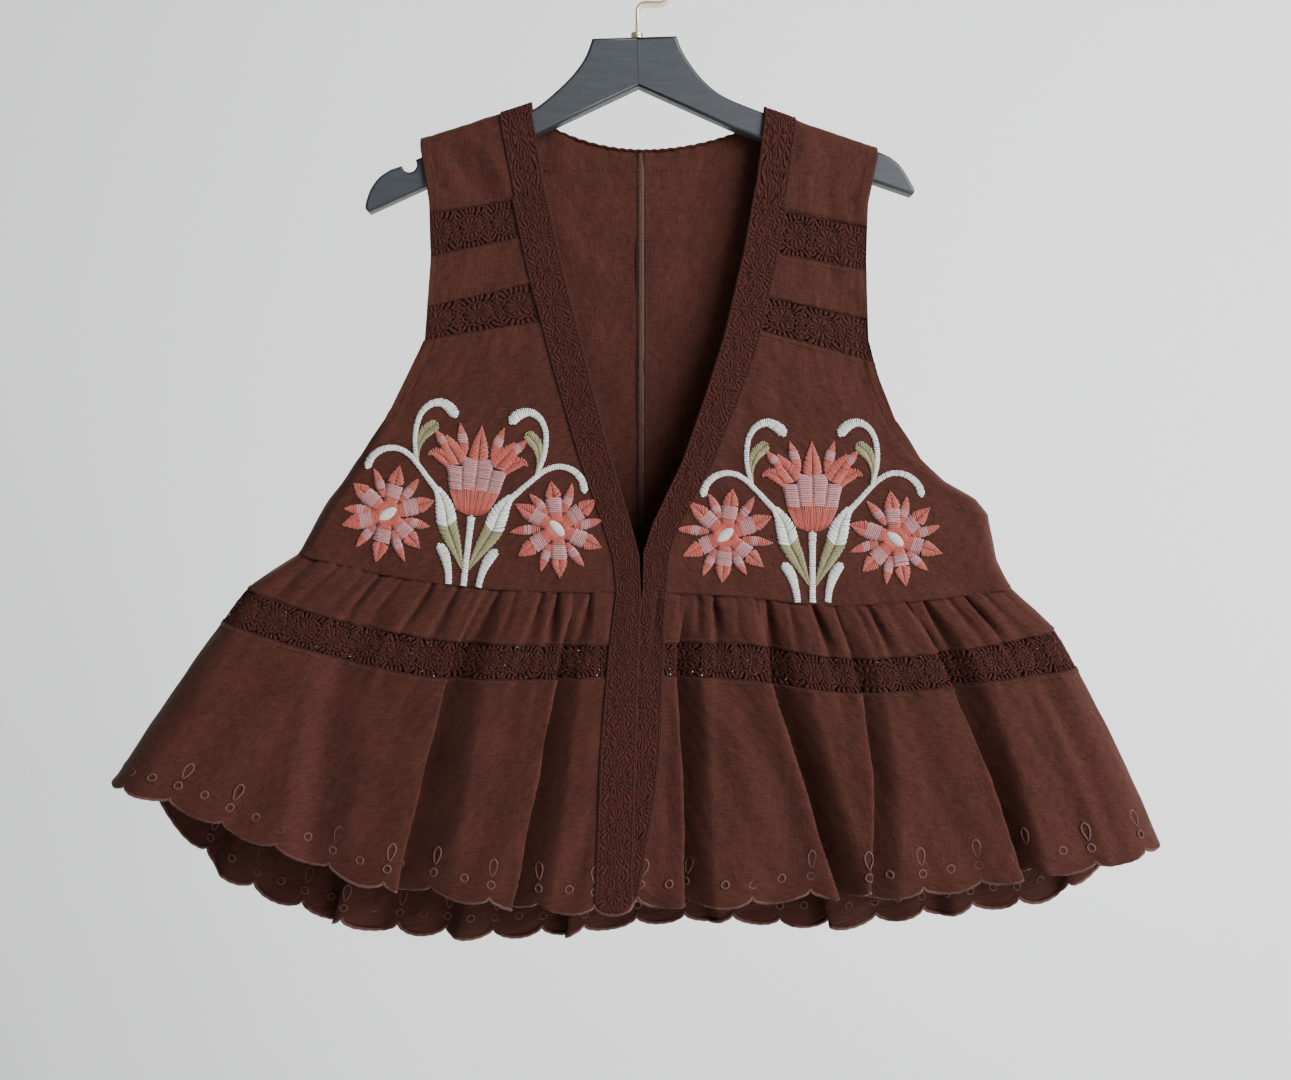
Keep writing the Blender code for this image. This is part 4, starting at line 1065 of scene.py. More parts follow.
def wall_finish(colours):
    """Matt off-white paint with a barely visible roller texture."""
    made = Shader("matt_wall", {"Specular IOR Level": 0.2})
    place = made.place()
    roller = made.noise(place, 90.0, 3.0)
    dark, light = shades(colours.wall, 0.985, 1.015)
    return made.feed(
        base_color=made.between(roller, dark, light),
        roughness=0.85 + roller * 0.1,
        normal=made.bump(roller, 0.0002),
    )


FINISHES = {
    "cotton": cotton_finish, "lining": lining_finish, "lace": lace_finish,
    "thread": thread_finish, "hem": hem_finish, "serging": serging_finish,
    "board": board_finish, "brass": brass_finish, "wall": wall_finish,
}
made_finishes = {}


def finish(name):
    """The material of one finish, made once from the colours in the panel."""
    if name not in made_finishes:
        made_finishes[name] = FINISHES[name](bpy.context.scene.top_colours)
    return made_finishes[name]


LACE_PITCH = 28.0
LACE_HEIGHT = 38.0


def ring(count, shift=0.0):
    """Evenly spaced points of a circle of radius 1."""
    turns = (np.arange(count) + shift) * 2 * math.pi / count
    return np.stack([np.cos(turns), np.sin(turns)], -1)


def rays(inner, outer, steps=3):
    """Paths from each inner point to its outer one."""
    share = np.linspace(0, 1, steps)[None, :, None]
    return np.asarray(inner)[:, None] * (1 - share) + np.asarray(outer)[:, None] * share


# The radius of a medallion, and how wide the lace is folded back at the armhole.
MEDALLION = 11.2
LACE_FOLDED = 17.0
FOLDED_CORDS = 1.9
# How full the cords of the lace are. Those of the back's run are fuller, so that no light passes
# through both runs.
FULLNESS = 1.3
BACK_FULLNESS = 1.9
# How far the hand of the lace strays from its pattern, and over what distance.
LACE_UNEVEN = 1.3
LACE_SLIP = 9.0
# How the thread rises and falls, and from crest to crest.
LACE_WOBBLE = 0.12
LACE_WOBBLE_PITCH = 6
# How far from its edges and ends the lace keeps true to its pattern.
LACE_TRUE_EDGE = 6
LACE_TRUE_END = 4


def outer_leaves():
    """Where the leaves between a medallion's rim and the edges of its repeat start and end."""
    found = []
    for across, up in ring(26, 0.5):
        if abs(up) > 0.35:
            reach = min(16.0 / abs(up), 13.4 / max(abs(across), 1e-6))
            if reach > MEDALLION + 2.7:
                found.append([
                    (across * (MEDALLION + 1.2), up * (MEDALLION + 0.7)),
                    (across * reach, up * reach),
                ])
    return np.array(found).transpose(1, 0, 2)


def lace_repeat(fullness):
    """One repeat of the lace: a petalled medallion, leaves round it and laddered edges."""
    lace = Strands()
    lace.fullness = fullness
    half_x, half_y = LACE_PITCH / 2, LACE_HEIGHT / 2
    lace.add(ring(12)[None] * 1.4, 0.8, -0.35, 0.8, loop=True)
    petals = ring(12, 0.25)
    lace.add(
        rays(petals * 1.9, petals * (9.9, 9.3), 6), [[0.42, 0.6, 1.05, 1.55, 1.75, 1.1]], -0.4,
        [[0.5, 0.7, 0.9, 1.0, 0.9, 0.5]],
    )
    wave = (1 + 0.045 * np.cos(np.arange(72) * math.pi / 3 - math.pi / 2))[:, None]
    rim = ring(72) * (MEDALLION + 0.4, MEDALLION - 0.6) * wave
    lace.add(rim[None], 0.85, -0.4, 0.9, loop=True)
    bars = ring(12, 0.75)
    lace.add(rays(bars * (8.4, 7.9), bars * (10.6, 10.0)), 0.65, -0.35, 0.6)
    lace.add(rays(*outer_leaves(), 4), [[0.7, 1.15, 1.2, 0.8]], -0.36, 0.8)
    for way in (-1, 1):
        rail = np.linspace(-half_x, half_x, 15)
        for level, thick in ((2.6, 0.75), (0.4, 0.6)):
            edge = way * (half_y - level) + 0.12 * np.sin(rail * 1.7 + level)
            lace.add(np.stack([rail, edge], -1), thick, -0.4, 0.85)
        rungs = np.linspace(-half_x + 1, half_x - 1, 14)
        foot = np.stack([rungs - 0.35, np.full(14, way * (half_y - 2.6))], -1)
        top = np.stack([rungs + 0.35, np.full(14, way * (half_y - 0.4))], -1)
        lace.add(rays(foot, top), 0.62, -0.34, 0.6)
        seam = np.stack([np.full(9, half_x), way * np.linspace(1.2, half_y - 2.4, 9)], -1)
        lace.add(seam, [[0.5, 1.3, 0.7, 1.4, 0.9, 1.6, 1.1, 1.7, 1.2]], -0.38, 0.75)
        tie = np.array([(way * 12.6, -2.2), (way * 13.6, 0), (way * 12.6, 2.2)])
        lace.add(tie, [[0.6, 1.0, 0.6]], -0.3, 0.7)
    points, faces = lace.joined()
    return points + (half_x, half_y, 0), faces


def turned_lace(points, faces):
    """Doubles the start of a strip, where it is folded back: close cords under its pattern."""
    edge = Strands()
    run = np.linspace(0.3, LACE_HEIGHT - 0.3, 26)
    for across in np.arange(0.8, LACE_FOLDED, FOLDED_CORDS):
        edge.add(np.stack([across + 0.2 * np.sin(run * 2.1), run], -1), 1.2, -0.8, 0.5)
    more, kinds = edge.joined()
    faces = [np.concatenate([kind, added + len(points)]) for kind, added in zip(faces, kinds)]
    return np.concatenate([points, more]), faces


def lace_strip(
    name, surface, shares, downs, lift, nodes, held, lengthwise=False,
    fullness=FULLNESS, turned=False,
):
    """A strip of lace over part of a surface, its repeats evenly spaced along it."""
    if lengthwise:
        steps = surface.point(mix(*shares, 0.5), np.linspace(*downs, 200))
    else:
        steps = surface.point(np.linspace(*shares, 200), mix(*downs, 0.5))
    length = np.linalg.norm(np.diff(steps, axis=0), axis=-1).sum()
    repeats = max(1, round(length / LACE_PITCH))
    points, faces = lace_repeat(fullness)
    offsets = np.arange(repeats)
    tiled = np.tile(points, (repeats, 1))
    tiled[:, 0] += np.repeat(offsets * LACE_PITCH, len(points))
    faces = [
        (kind[None] + offsets[:, None, None] * len(points)).reshape(-1, kind.shape[1])
        for kind in faces
    ]
    if turned:
        tiled, faces = turned_lace(tiled, faces)
    total = LACE_PITCH * repeats
    inside = smooth((LACE_HEIGHT / 2 - np.abs(tiled[:, 1] - LACE_HEIGHT / 2)) / LACE_TRUE_EDGE)
    inside = inside * smooth(tiled[:, 0] / LACE_TRUE_END)
    inside = inside * smooth((total - tiled[:, 0]) / LACE_TRUE_END)
    slip = [rumple(tiled[:, 0], tiled[:, 1], LACE_SLIP, len(name) + part) for part in (1, 4)]
    for axis in (0, 1):
        tiled[:, axis] += LACE_UNEVEN / fullness ** 2 * inside * slip[axis]
    run, cross = tiled[:, 0] / total, tiled[:, 1] / LACE_HEIGHT
    share, down = (cross, run) if lengthwise else (run, cross)
    flip = (surface.outside < 0) != lengthwise
    wobble = rumple(tiled[:, 0], tiled[:, 1], LACE_WOBBLE_PITCH, len(name)) * LACE_WOBBLE
    placed = surface.at(mix(*shares, share), mix(*downs, down), tiled[:, 2] + lift + wobble)
    faces = [kind[:, ::-1] if flip else kind for kind in faces]
    obj = build(name, placed, faces, finish("lace"))
    grid = surface.point(*np.meshgrid(np.linspace(*shares, 60), np.linspace(*downs, 60)))
    corners = placed[faces[0]].transpose(1, 0, 2)
    skin = np.linalg.norm(np.cross(corners[2] - corners[0], corners[3] - corners[1]), axis=-1)
    declare(grid, held, skin.sum() / 4 * MM * MM)
    stand_in(obj, nodes)


def sewn_piece(name, strands, thread):
    """The piece that all of a line's stitches make."""
    stand_in(build(name, *strands.joined(), finish(thread)))


def sewn_line(strands, surface, shares, downs, lift, pitch=2.8, length=1.9, half=0.3):
    """Running stitches along a line of a surface."""
    shares, downs = np.broadcast_arrays(np.asarray(shares, float), np.asarray(downs, float))
    steps = np.linalg.norm(np.diff(surface.point(shares, downs), axis=0), axis=-1)
    reach = np.concatenate([[0], np.cumsum(steps)])
    starts = np.arange(0.5, reach[-1] - length, pitch)
    if not len(starts):
        return
    places = starts[:, None] + np.linspace(0, length, 3)
    share, down = np.interp(places, reach, shares), np.interp(places, reach, downs)
    points, normals, _, _ = surface.frame(share, down)
    strands.add(points, half, lift, [[0.2, 0.42, 0.2]], normals)


def inset_line(surface, downs, distance, from_end=False):
    """Shares of a line that keeps a distance from one side edge of a surface."""
    reach = np.linspace(0, 0.3, 80) ** 1.5
    reach = 1 - reach if from_end else reach
    share, down = np.meshgrid(reach, downs)
    lengths = row_lengths(surface.point(share, down))
    return np.array([np.interp(distance, row, reach) for row in lengths])


# Each front's embroidery is drawn in its own plane: X from the foot of the middle stem, Z up it.
Spray = namedtuple("Spray", "across height lean")
SPRAYS = {
    "left": Spray(-136.0, -514.5, math.radians(-6.5)),
    "right": Spray(137.5, -527.5, 0.0),
}
DAISY_PLACES = {"outer": (65.0, 50.0), "inner": (-68.0, 53.5)}
# Strokes as (across, up, half width) down the middle of each shape.
BULB = [
    (2.6, 14, 0.8), (6.5, 23, 3.2), (11.8, 34, 6.0), (17.8, 46.5, 7.7), (21.0, 58, 7.2),
    (24.5, 66.5, 4.9), (29, 73.5, 2.8),
]
STEM = [
    (26.5, 70, 2.6), (35.4, 79.3, 2.2), (45.7, 90.3, 2.0), (54, 98, 2.1), (64, 102, 2.2),
    (75, 100, 2.5), (83, 93, 2.9), (86, 83.5, 3.2),
]
CURL = [
    (46.2, 90.5, 1.2), (48.8, 99, 1.7), (51, 109, 2.0), (51.3, 120, 2.1), (49, 131, 2.2),
    (43, 139, 2.6), (34.5, 141.8, 3.3), (26, 137.5, 4.2), (21, 130.5, 3.9),
]
FOOT = [(11.8, 0.8, 2.5), (13.4, 12, 2.9), (17.4, 23.5, 4.0), (23.2, 31.5, 3.4)]
LEAF = [
    (46.5, 91, 0.8), (47.8, 102, 1.6), (46.8, 110, 3.0), (43.5, 117.5, 5.0), (37.5, 123, 4.4),
    (34.8, 125, 3.2),
]
MIDDLE_STEM = [(0, 0.6, 2.5), (0, 25, 2.4), (0, 45, 2.7), (0, 57, 3.3)]
BULB_OLIVE = 0.56


def even_curve(rows, pitch):
    """A smooth curve through rows of (across, up, half), read at even steps."""
    rows = np.asarray(rows, float)
    share = np.linspace(0, 1, 40 * len(rows))
    fine = np.stack([along(rows[:, column], share) for column in range(3)], -1)
    reach = np.concatenate([[0], np.cumsum(np.linalg.norm(np.diff(fine[:, :2], axis=0), axis=-1))])
    places = np.arange(pitch / 2, reach[-1], pitch)
    return np.stack([np.interp(places, reach, fine[:, column]) for column in range(3)], -1)


def mirrored(rows, way):
    """A stroke's rows, turned over to the left where way is -1."""
    return [(way * across, up, half) for across, up, half in rows]


# In front of the cloth: where the search for the cloth starts, and where it lies if missed.
SEARCH_FROM = -200.0
FRONT_FACE = -25.0


class Satin:
    """Satin stitches laid side by side in the plane of a spray: (across, up) in millimetres."""

    STEPS = 5

    def __init__(self, pitch):
        self.pitch = pitch
        self.starts, self.ends, self.colours, self.heights = [], [], [], []

    def fill(self, starts, ends, colours, height=0.7):
        """Stitches from each start to its end."""
        self.starts.append(np.asarray(starts, float))
        self.ends.append(np.asarray(ends, float))
        self.colours.append(np.broadcast_to(np.asarray(colours, float), (len(starts), 3)))
        self.heights.append(np.full(len(starts), height))

    def stroke(self, rows, colour_at, slant=0.35, split=False, height=0.75, blunt=(0.0, 0.0)):
        """Stitches across a stroke; a split one has two columns that meet on a middle line.

        blunt tells how round the first and the last end are: 0 is cut straight, 1 a half circle.
        """
        curve = even_curve(rows, self.pitch)
        length = self.pitch * len(curve)
        place = np.linspace(0, 1, len(curve))
        half = curve[:, 2].copy()
        for end, reach in zip(blunt, (place * length, (1 - place) * length)):
            if end:
                inside = np.clip(1 - reach / (end * curve[:, 2]), 0, 1)
                half = half * np.sqrt(1 - 0.86 * inside * inside)
        heading = np.gradient(curve[:, :2], axis=0)
        heading /= np.linalg.norm(heading, axis=-1, keepdims=True)
        uneven = 1 + 0.05 * np.sin(np.arange(len(curve)) * 2.4)[:, None]
        aside = np.stack([-heading[:, 1], heading[:, 0]], -1) * half[:, None] * uneven
        colours = np.array([colour_at(spot) for spot in place])
        middle = curve[:, :2]
        lead = heading * slant * half[:, None]
        if split:
            for way in (-1, 1):
                self.fill(middle - lead, middle + lead + aside * way, colours, height)
        else:
            self.fill(middle - aside - lead, middle + aside + lead, colours, height)

    def lay(self, name, side, tree, nodes):
        """Lays all the stitches on the cloth of a front."""
        starts, ends = np.concatenate(self.starts), np.concatenate(self.ends)
        share = np.linspace(0, 1, self.STEPS)
        flat = starts[:, None] + (ends - starts)[:, None] * share[None, :, None]
        jitter = rng.normal(0, 0.07, (len(starts), 1, 2)) + rng.normal(0, 0.05, flat.shape)
        flat = flat + jitter
        spray = SPRAYS[side]
        cosine, sine = math.cos(spray.lean), math.sin(spray.lean)
        across = spray.across + flat[..., 0] * cosine - flat[..., 1] * sine
        height = spray.height + flat[..., 0] * sine + flat[..., 1] * cosine
        bases = np.empty(across.shape)
        for place in np.ndindex(across.shape):
            start = Vector((across[place], SEARCH_FROM, height[place]))
            face = tree.ray_cast(start, Vector((0, 1, 0)))[0]
            bases[place] = face.y if face else FRONT_FACE
        swell = np.concatenate(self.heights)[:, None] * (1 - (2 * share - 1) ** 2) ** 0.6
        length = np.linalg.norm(ends - starts, axis=-1)[:, None]
        swell = swell * np.clip(length / 7, 0.3, 1.2)
        paths = np.stack([across, bases, height], -1)
        strands = Strands()
        colours = np.concatenate(self.colours) * rng.uniform(0.9, 1.08, (len(starts), 1))
        strands.add(
            paths, self.pitch * 0.54, 0.22 + swell, 0.85, (0.0, -1.0, 0.0), colour=colours
        )
        points, faces = strands.joined()
        obj = build(name, points, faces, finish("thread"), colours=strands.colour_rows())
        stand_in(obj, nodes)


def banded(*bands):
    """The colour at a share of a shape's length, from (where it ends, colour) pairs."""
    def colour_at(place):
        for end, colour in bands:
            if place <= end:
                return tuple(colour[:3])
        return tuple(bands[-1][1][:3])

    return colour_at


def petal_rows(centre, angle, start, end, half, widths, bend=0.0):
    """A petal's stroke from start to end of its radius, with its widths at shares of its length."""
    rows = []
    for share, width in widths:
        radius = mix(start, end, share)
        turned = angle + bend * share * share
        rows.append((
            centre[0] + radius * math.cos(turned), centre[1] + radius * math.sin(turned),
            half * width,
        ))
    return rows


BROAD_ROOT = ((0.0, 0.8), (0.35, 1.0), (0.75, 1.06), (1.0, 1.02))
BROAD_TIP = ((0.0, 1.0), (0.2, 0.95), (0.45, 0.72), (0.72, 0.4), (1.0, 0.03))
SLIM_PETAL = ((0.0, 0.3), (0.2, 0.82), (0.45, 1.0), (0.7, 0.78), (0.88, 0.42), (1.0, 0.06))


def sew_daisy(satin, centre, way, colours, turned):
    """Six broad petals with a middle line, six slim ones between them, a ring and a white eye."""
    for petal in range(6):
        angle = turned + petal * math.pi / 3 + rng.uniform(-0.08, 0.08)
        reach = rng.uniform(35.0, 38.0)
        band = rng.uniform(21.5, 24.0)
        satin.stroke(
            petal_rows(centre, angle, 8.8, band, 6.2, BROAD_ROOT),
            banded((0.3, colours.coral), (1.0, colours.pink)), 0.05, False, 0.7,
        )
        satin.stroke(
            petal_rows(centre, angle, band, reach + 1.2, 6.2, BROAD_TIP),
            banded((1.0, colours.coral)), 0.25, True, 0.75,
        )
        slim = angle + math.pi / 6 + rng.uniform(-0.05, 0.05)
        satin.stroke(
            petal_rows(centre, slim, 13.5, reach + rng.uniform(-1.5, 1.5), 3.8, SLIM_PETAL, 0.05),
            banded((0.26, colours.coral), (0.56, colours.pink), (1.0, colours.coral)),
            0.1, False, 0.7,
        )
    turns = np.arange(0, 2 * math.pi, satin.pitch / 10.0)
    ring = np.stack([np.cos(turns), np.sin(turns)], -1)
    lean = math.radians(40) * way
    long_way = np.array([math.cos(lean), math.sin(lean)])
    short_way = np.array([-long_way[1], long_way[0]])
    stretch = 1 + 0.3 * (ring @ long_way)[:, None] ** 2
    satin.fill(centre + ring * 4.0 * stretch, centre + ring * 10.2, colours.coral, 0.8)
    steps = np.arange(-7.4, 7.5, satin.pitch)
    reach = 4.3 * np.sqrt(np.clip(1 - (steps / 7.9) ** 2, 0, 1))[:, None]
    middle = centre + steps[:, None] * long_way
    satin.fill(middle - short_way * reach, middle + short_way * reach, colours.white, 1.7)


TULIP_FOOT = 56.0
TULIP_RIM = 74.5
PINK_TOPS = (92.5, 101.5, 101.5, 92.5)
MIDDLE_PETAL = [(0, 100.5, 7.6), (0, 106, 7.0), (0, 113, 5.4), (0, 120, 2.8), (0, 126.5, 0.4)]
CURLED_PETAL = [
    (21, 93, 3.6), (25.5, 98, 4.9), (30.5, 101, 4.5), (35, 102.2, 2.9), (39.5, 99.5, 0.5),
]
BROAD_PETAL = [
    (14.8, 96, 7.6), (18.5, 101.5, 7.8), (23, 107, 6.6), (27, 112, 4.6), (29, 115, 3.2),
]
BROAD_PETAL_TIP = [
    (24.5, 106, 1.4), (28, 110.5, 3.6), (31.5, 114, 3.4), (34.5, 117.5, 1.8),
    (36.5, 120.5, 0.3),
]
SPEAR_PETAL = [
    (10.6, 103, 1.2), (12.0, 108, 3.4), (14.2, 116, 4.0), (16, 122, 2.4), (17.4, 127, 0.3),
]


def sew_tulip(satin, colours):
    """A cup of coral wedges and pink columns, with pointed and curled petals over it; every fourth
    stitch of the cup is darker, as painted shade between the wedges.
    """
    coral, pink = np.array(colours.coral[:3]), colours.pink
    count = int(38 / satin.pitch)
    share = np.linspace(-0.985, 0.985, count)
    rim = np.stack([19.4 * share, TULIP_RIM + 1.6 * (1 - share ** 2)], -1)
    rim[:, 1] += 4.4 * (np.abs(rim[:, 0] + 0.8) < 5.2)
    inward = 0.66 * share
    bowl = (TULIP_RIM - TULIP_FOOT) * np.sqrt(1 - inward ** 2)
    base = np.stack([19.0 * inward, TULIP_RIM - bowl], -1)
    # Painted shade: every fourth stitch of the cup is darker, for the shade between the wedges.
    wedge_gap_shade = np.where(np.arange(count) % 4 == 3, 0.62, 1.0)[:, None]
    satin.fill(base, rim, coral * wedge_gap_shade, 0.5)
    for column, top in enumerate(PINK_TOPS):
        left, right = -1 + column * 0.5, -0.5 + column * 0.5
        ups = np.arange(TULIP_RIM + 1.2 + (0.8 if column in (1, 2) else 0), top, satin.pitch)
        wide = np.interp(ups, (74, 84, 92, 102), (19.4, 21.4, 23.6, 25.4))
        low = np.stack([wide * left - 0.3, ups + 0.15], -1)
        high = np.stack([wide * right + 0.3, ups - 0.15], -1)
        satin.fill(low, high, pink, 0.4)
    satin.stroke(MIDDLE_PETAL, banded((1.0, coral)), 0.22, True, 0.85)
    for way in (-1, 1):
        for rows, bands, split, height in (
            (CURLED_PETAL, ((1.0, coral),), True, 0.8),
            (BROAD_PETAL, ((1.0, coral),), True, 0.85),
            (BROAD_PETAL_TIP, ((0.3, coral), (0.62, pink), (1.0, coral)), False, 1.2),
            (SPEAR_PETAL, ((0.4, coral), (0.66, pink), (1.0, coral)), False, 0.75),
        ):
            satin.stroke(mirrored(rows, way), banded(*bands), 0.18, split, height)


def sew_stems(satin, colours):
    """The white stems, curls and feet; their lower bulbs are olive."""
    white, olive = (1.0, colours.white), (BULB_OLIVE, colours.olive)
    satin.stroke(MIDDLE_STEM, banded(white), 0.08, False, 0.8, (0, 0.6))
    for way in (-1, 1):
        for rows, bands, split, blunt in (
            (STEM, (white,), False, (0, 1)), (BULB, (olive, white), True, (0, 0)),
            (CURL, (white,), False, (0, 1)), (FOOT, (white,), False, (0, 1)),
        ):
            slant = 0.25 if split else 0.08
            satin.stroke(mirrored(rows, way), banded(*bands), slant, split, 0.8, blunt)


def sew_leaves(satin, colours):
    """The olive leaves over the curls."""
    for way in (-1, 1):
        olive = banded((1.0, colours.olive))
        satin.stroke(mirrored(LEAF, way), olive, 0.3, True, 0.75, (0, 0.8))


class TopSizes(bpy.types.PropertyGroup):
    """Sizes of the cloth, the thread and the view, in metres."""

    wall: bpy.props.FloatProperty(
        name="Cloth wall", description="Thickness of the cotton", default=0.0009, unit="LENGTH"
    )
    stitch: bpy.props.FloatProperty(
        name="Satin stitch", description="Distance between two satin stitches", default=0.0014,
        unit="LENGTH",
    )
    hem_cord: bpy.props.FloatProperty(
        name="Hem cord", description="Half width of the stitched edge of the hem",
        default=0.0014, unit="LENGTH",
    )
    camera_distance: bpy.props.FloatProperty(
        name="Camera distance", description="From the camera to the middle of the top",
        default=1.2, unit="LENGTH",
    )


def colour_property(name, description, default):
    return bpy.props.FloatVectorProperty(
        name=name, description=description, default=default, subtype="COLOR", min=0, max=1
    )


class TopColours(bpy.types.PropertyGroup):
    """Colours of the cloth, the threads, the hanger and the room."""

    cotton: colour_property("Cotton", "Dye of the cloth", (0.0335, 0.0088, 0.0055))
    lace: colour_property("Lace", "Dye of the lace", (0.0275, 0.0061, 0.0043))
    hem: colour_property("Hem thread", "Thread of the scalloped edge", (0.076, 0.028, 0.021))
    serging: colour_property("Serging", "Thread of the centre back seam", (0.044, 0.0145, 0.009))
    coral: colour_property("Coral", "Main thread of the flowers", (0.41, 0.064, 0.042))
    pink: colour_property("Pink", "Banded thread of the flowers", (0.43, 0.18, 0.185))
    white: colour_property("White", "Thread of the stems", (0.68, 0.69, 0.66))
    olive: colour_property("Olive", "Thread of the leaves", (0.235, 0.215, 0.098))
    board: colour_property("Board", "Paint of the hanger", (0.0215, 0.0255, 0.0315))
    brass: colour_property("Brass", "Plate of the hook", (0.78, 0.68, 0.42))
    wall: colour_property("Wall", "Paint of the room", (0.925, 0.928, 0.93))


# Half the thickness and the rounding of the board and of the hook's strip.
BOARD_CUT = (7.0, 2.5)
HOOK_CUT = (5.0, 0.7)
# The ferrule's radius and height, from its top lip down to the board.
FERRULE = [
    (3.2, -72.75), (4.9, -72.9), (5.0, -74.4), (4.6, -74.7), (5.0, -75.0), (5.0, -77.1),
]
FERRULE_STEPS = 40


class TOP_OT_hanger(bpy.types.Operator):
    """Makes the painted board halves, the flat brass hook and its ferrule"""

    bl_idname = "top.hanger"
    bl_label = "Hanger"

    def execute(self, context):
        for side, way in (("left", -1), ("right", 1)):
            board = flat_cut(f"board_{side}", board_outline(way), *BOARD_CUT, "board", True)
            stand_in(board, [f"hanger_board_{side}"])
        hook = flat_cut("hook_strip", hook_outline(), *HOOK_CUT, "brass")
        stand_in(hook, ["hanger_hook"])
        turns = np.linspace(0, 2 * math.pi, FERRULE_STEPS, endpoint=False)
        points = np.array([
            (radius * math.cos(turn), radius * math.sin(turn), height)
            for radius, height in FERRULE for turn in turns
        ])
        grid = np.arange(len(points)).reshape(len(FERRULE), FERRULE_STEPS)
        after = np.roll(grid, -1, 1)
        faces = np.stack([grid[:-1], grid[1:], after[1:], after[:-1]], -1).reshape(-1, 4)
        ferrule = build("hook_ferrule", points, faces, finish("brass"))
        stand_in(ferrule, ["hanger_ferrule"])
        return {"FINISHED"}


def arc(centre, radius, start, end, steps):
    """Points of an arc in the X and Z plane; angles are in degrees."""
    turns = np.radians(np.linspace(start, end, steps + 1))
    return [
        (centre[0] + radius * math.cos(turn), centre[1] + radius * math.sin(turn)) for turn in turns
    ]


def rounded(points, steps=6):
    """A smooth curve through the points of an outline."""
    rows = np.asarray(points, float)
    share = np.linspace(0, 1, steps * (len(rows) - 1) + 1)
    return list(zip(along(rows[:, 0], share), along(rows[:, 1], share)))


BOARD_TOP = -77.5
BOARD_TILT = math.radians(1.7)
# The halves' joint: half its gap, how much of the rounding is left there, and how far from it.
JOINT_GAP = 0.02
JOINT_ROUND = 0.08
JOINT_REACH = 1.05
# In metres: points this close are one, and a face this large, or this square to Y, stays flat.
SAME_PLACE = 1e-6
LARGE_FACE = 1e-4
FLAT_NORMAL = 0.999


# Each half from the joint outwards: the swept shoulder down to the notch, the middle of the notch,
# the rounded end, and the underside back to the joint.
BoardHalf = namedtuple("BoardHalf", "sweep notch end under")
BOARD_HALVES = {
    -1: BoardHalf(
        [
            (35.6, 0), (40.4, -12), (46.3, -21.5), (54.5, -31), (66, -41.5), (81, -53),
            (101, -64), (172.6, -89.7),
        ],
        (184.4, -96.0),
        [
            (199.4, -99.6), (207.9, -104.9), (214.1, -112), (218.0, -119.7), (220.4, -129.0),
            (217.6, -133.2),
        ],
        [(172.7, -114.4), (64, -67.1), (JOINT_GAP, -39)],
    ),
    1: BoardHalf(
        [
            (31.6, 0), (35.2, -10.5), (42.1, -22.9), (52.8, -36.8), (65.3, -47.6), (81, -55.6),
            (101, -64), (169.5, -88.6),
        ],
        (181.0, -94.9),
        [
            (198.4, -101.2), (205.5, -107.2), (211.2, -115.6), (217.5, -128.4),
            (214.6, -132.2),
        ],
        [(182.8, -120.1), (72.7, -74.4), (JOINT_GAP, -39)],
    ),
}
NOTCH_RADIUS = 6.1


def board_outline(way):
    """Half of the board: flat head, swept shoulder, notched end and straight underside."""
    half = BOARD_HALVES[way]
    points = (
        [(JOINT_GAP, 0), (28, 0)] + rounded(half.sweep[:-1]) + half.sweep[-1:]
        + arc(half.notch, NOTCH_RADIUS, 145, 352, 14) + rounded(half.end) + half.under
    )
    cosine, sine = math.cos(BOARD_TILT), math.sin(BOARD_TILT)
    return [
        (way * x * cosine - z * sine, BOARD_TOP + way * x * sine + z * cosine) for x, z in points
    ]


def hook_outline():
    """The hook's flat strip: stem, run to the right, and the bend over the top."""
    bend, half, corner, run, foot = 25.2, 1.2, 7.0, -49.5, 4.7
    middle = half - bend
    path = np.array(
        [(0, BOARD_TOP + foot)] + arc((corner, run - corner), corner, 180, 90, 10)
        + arc((bend - corner, run + corner), corner, -90, 0, 10)
        + arc((0, middle), bend, 0, 180, 48)
        + [(-bend + 0.5, middle - 8), (-bend - 1.5, middle - 13)]
    )
    heading = np.gradient(path, axis=0)
    heading /= np.linalg.norm(heading, axis=-1, keepdims=True)
    aside = np.stack([-heading[:, 1], heading[:, 0]], -1) * half
    return (path + aside).tolist() + (path - aside)[::-1].tolist()


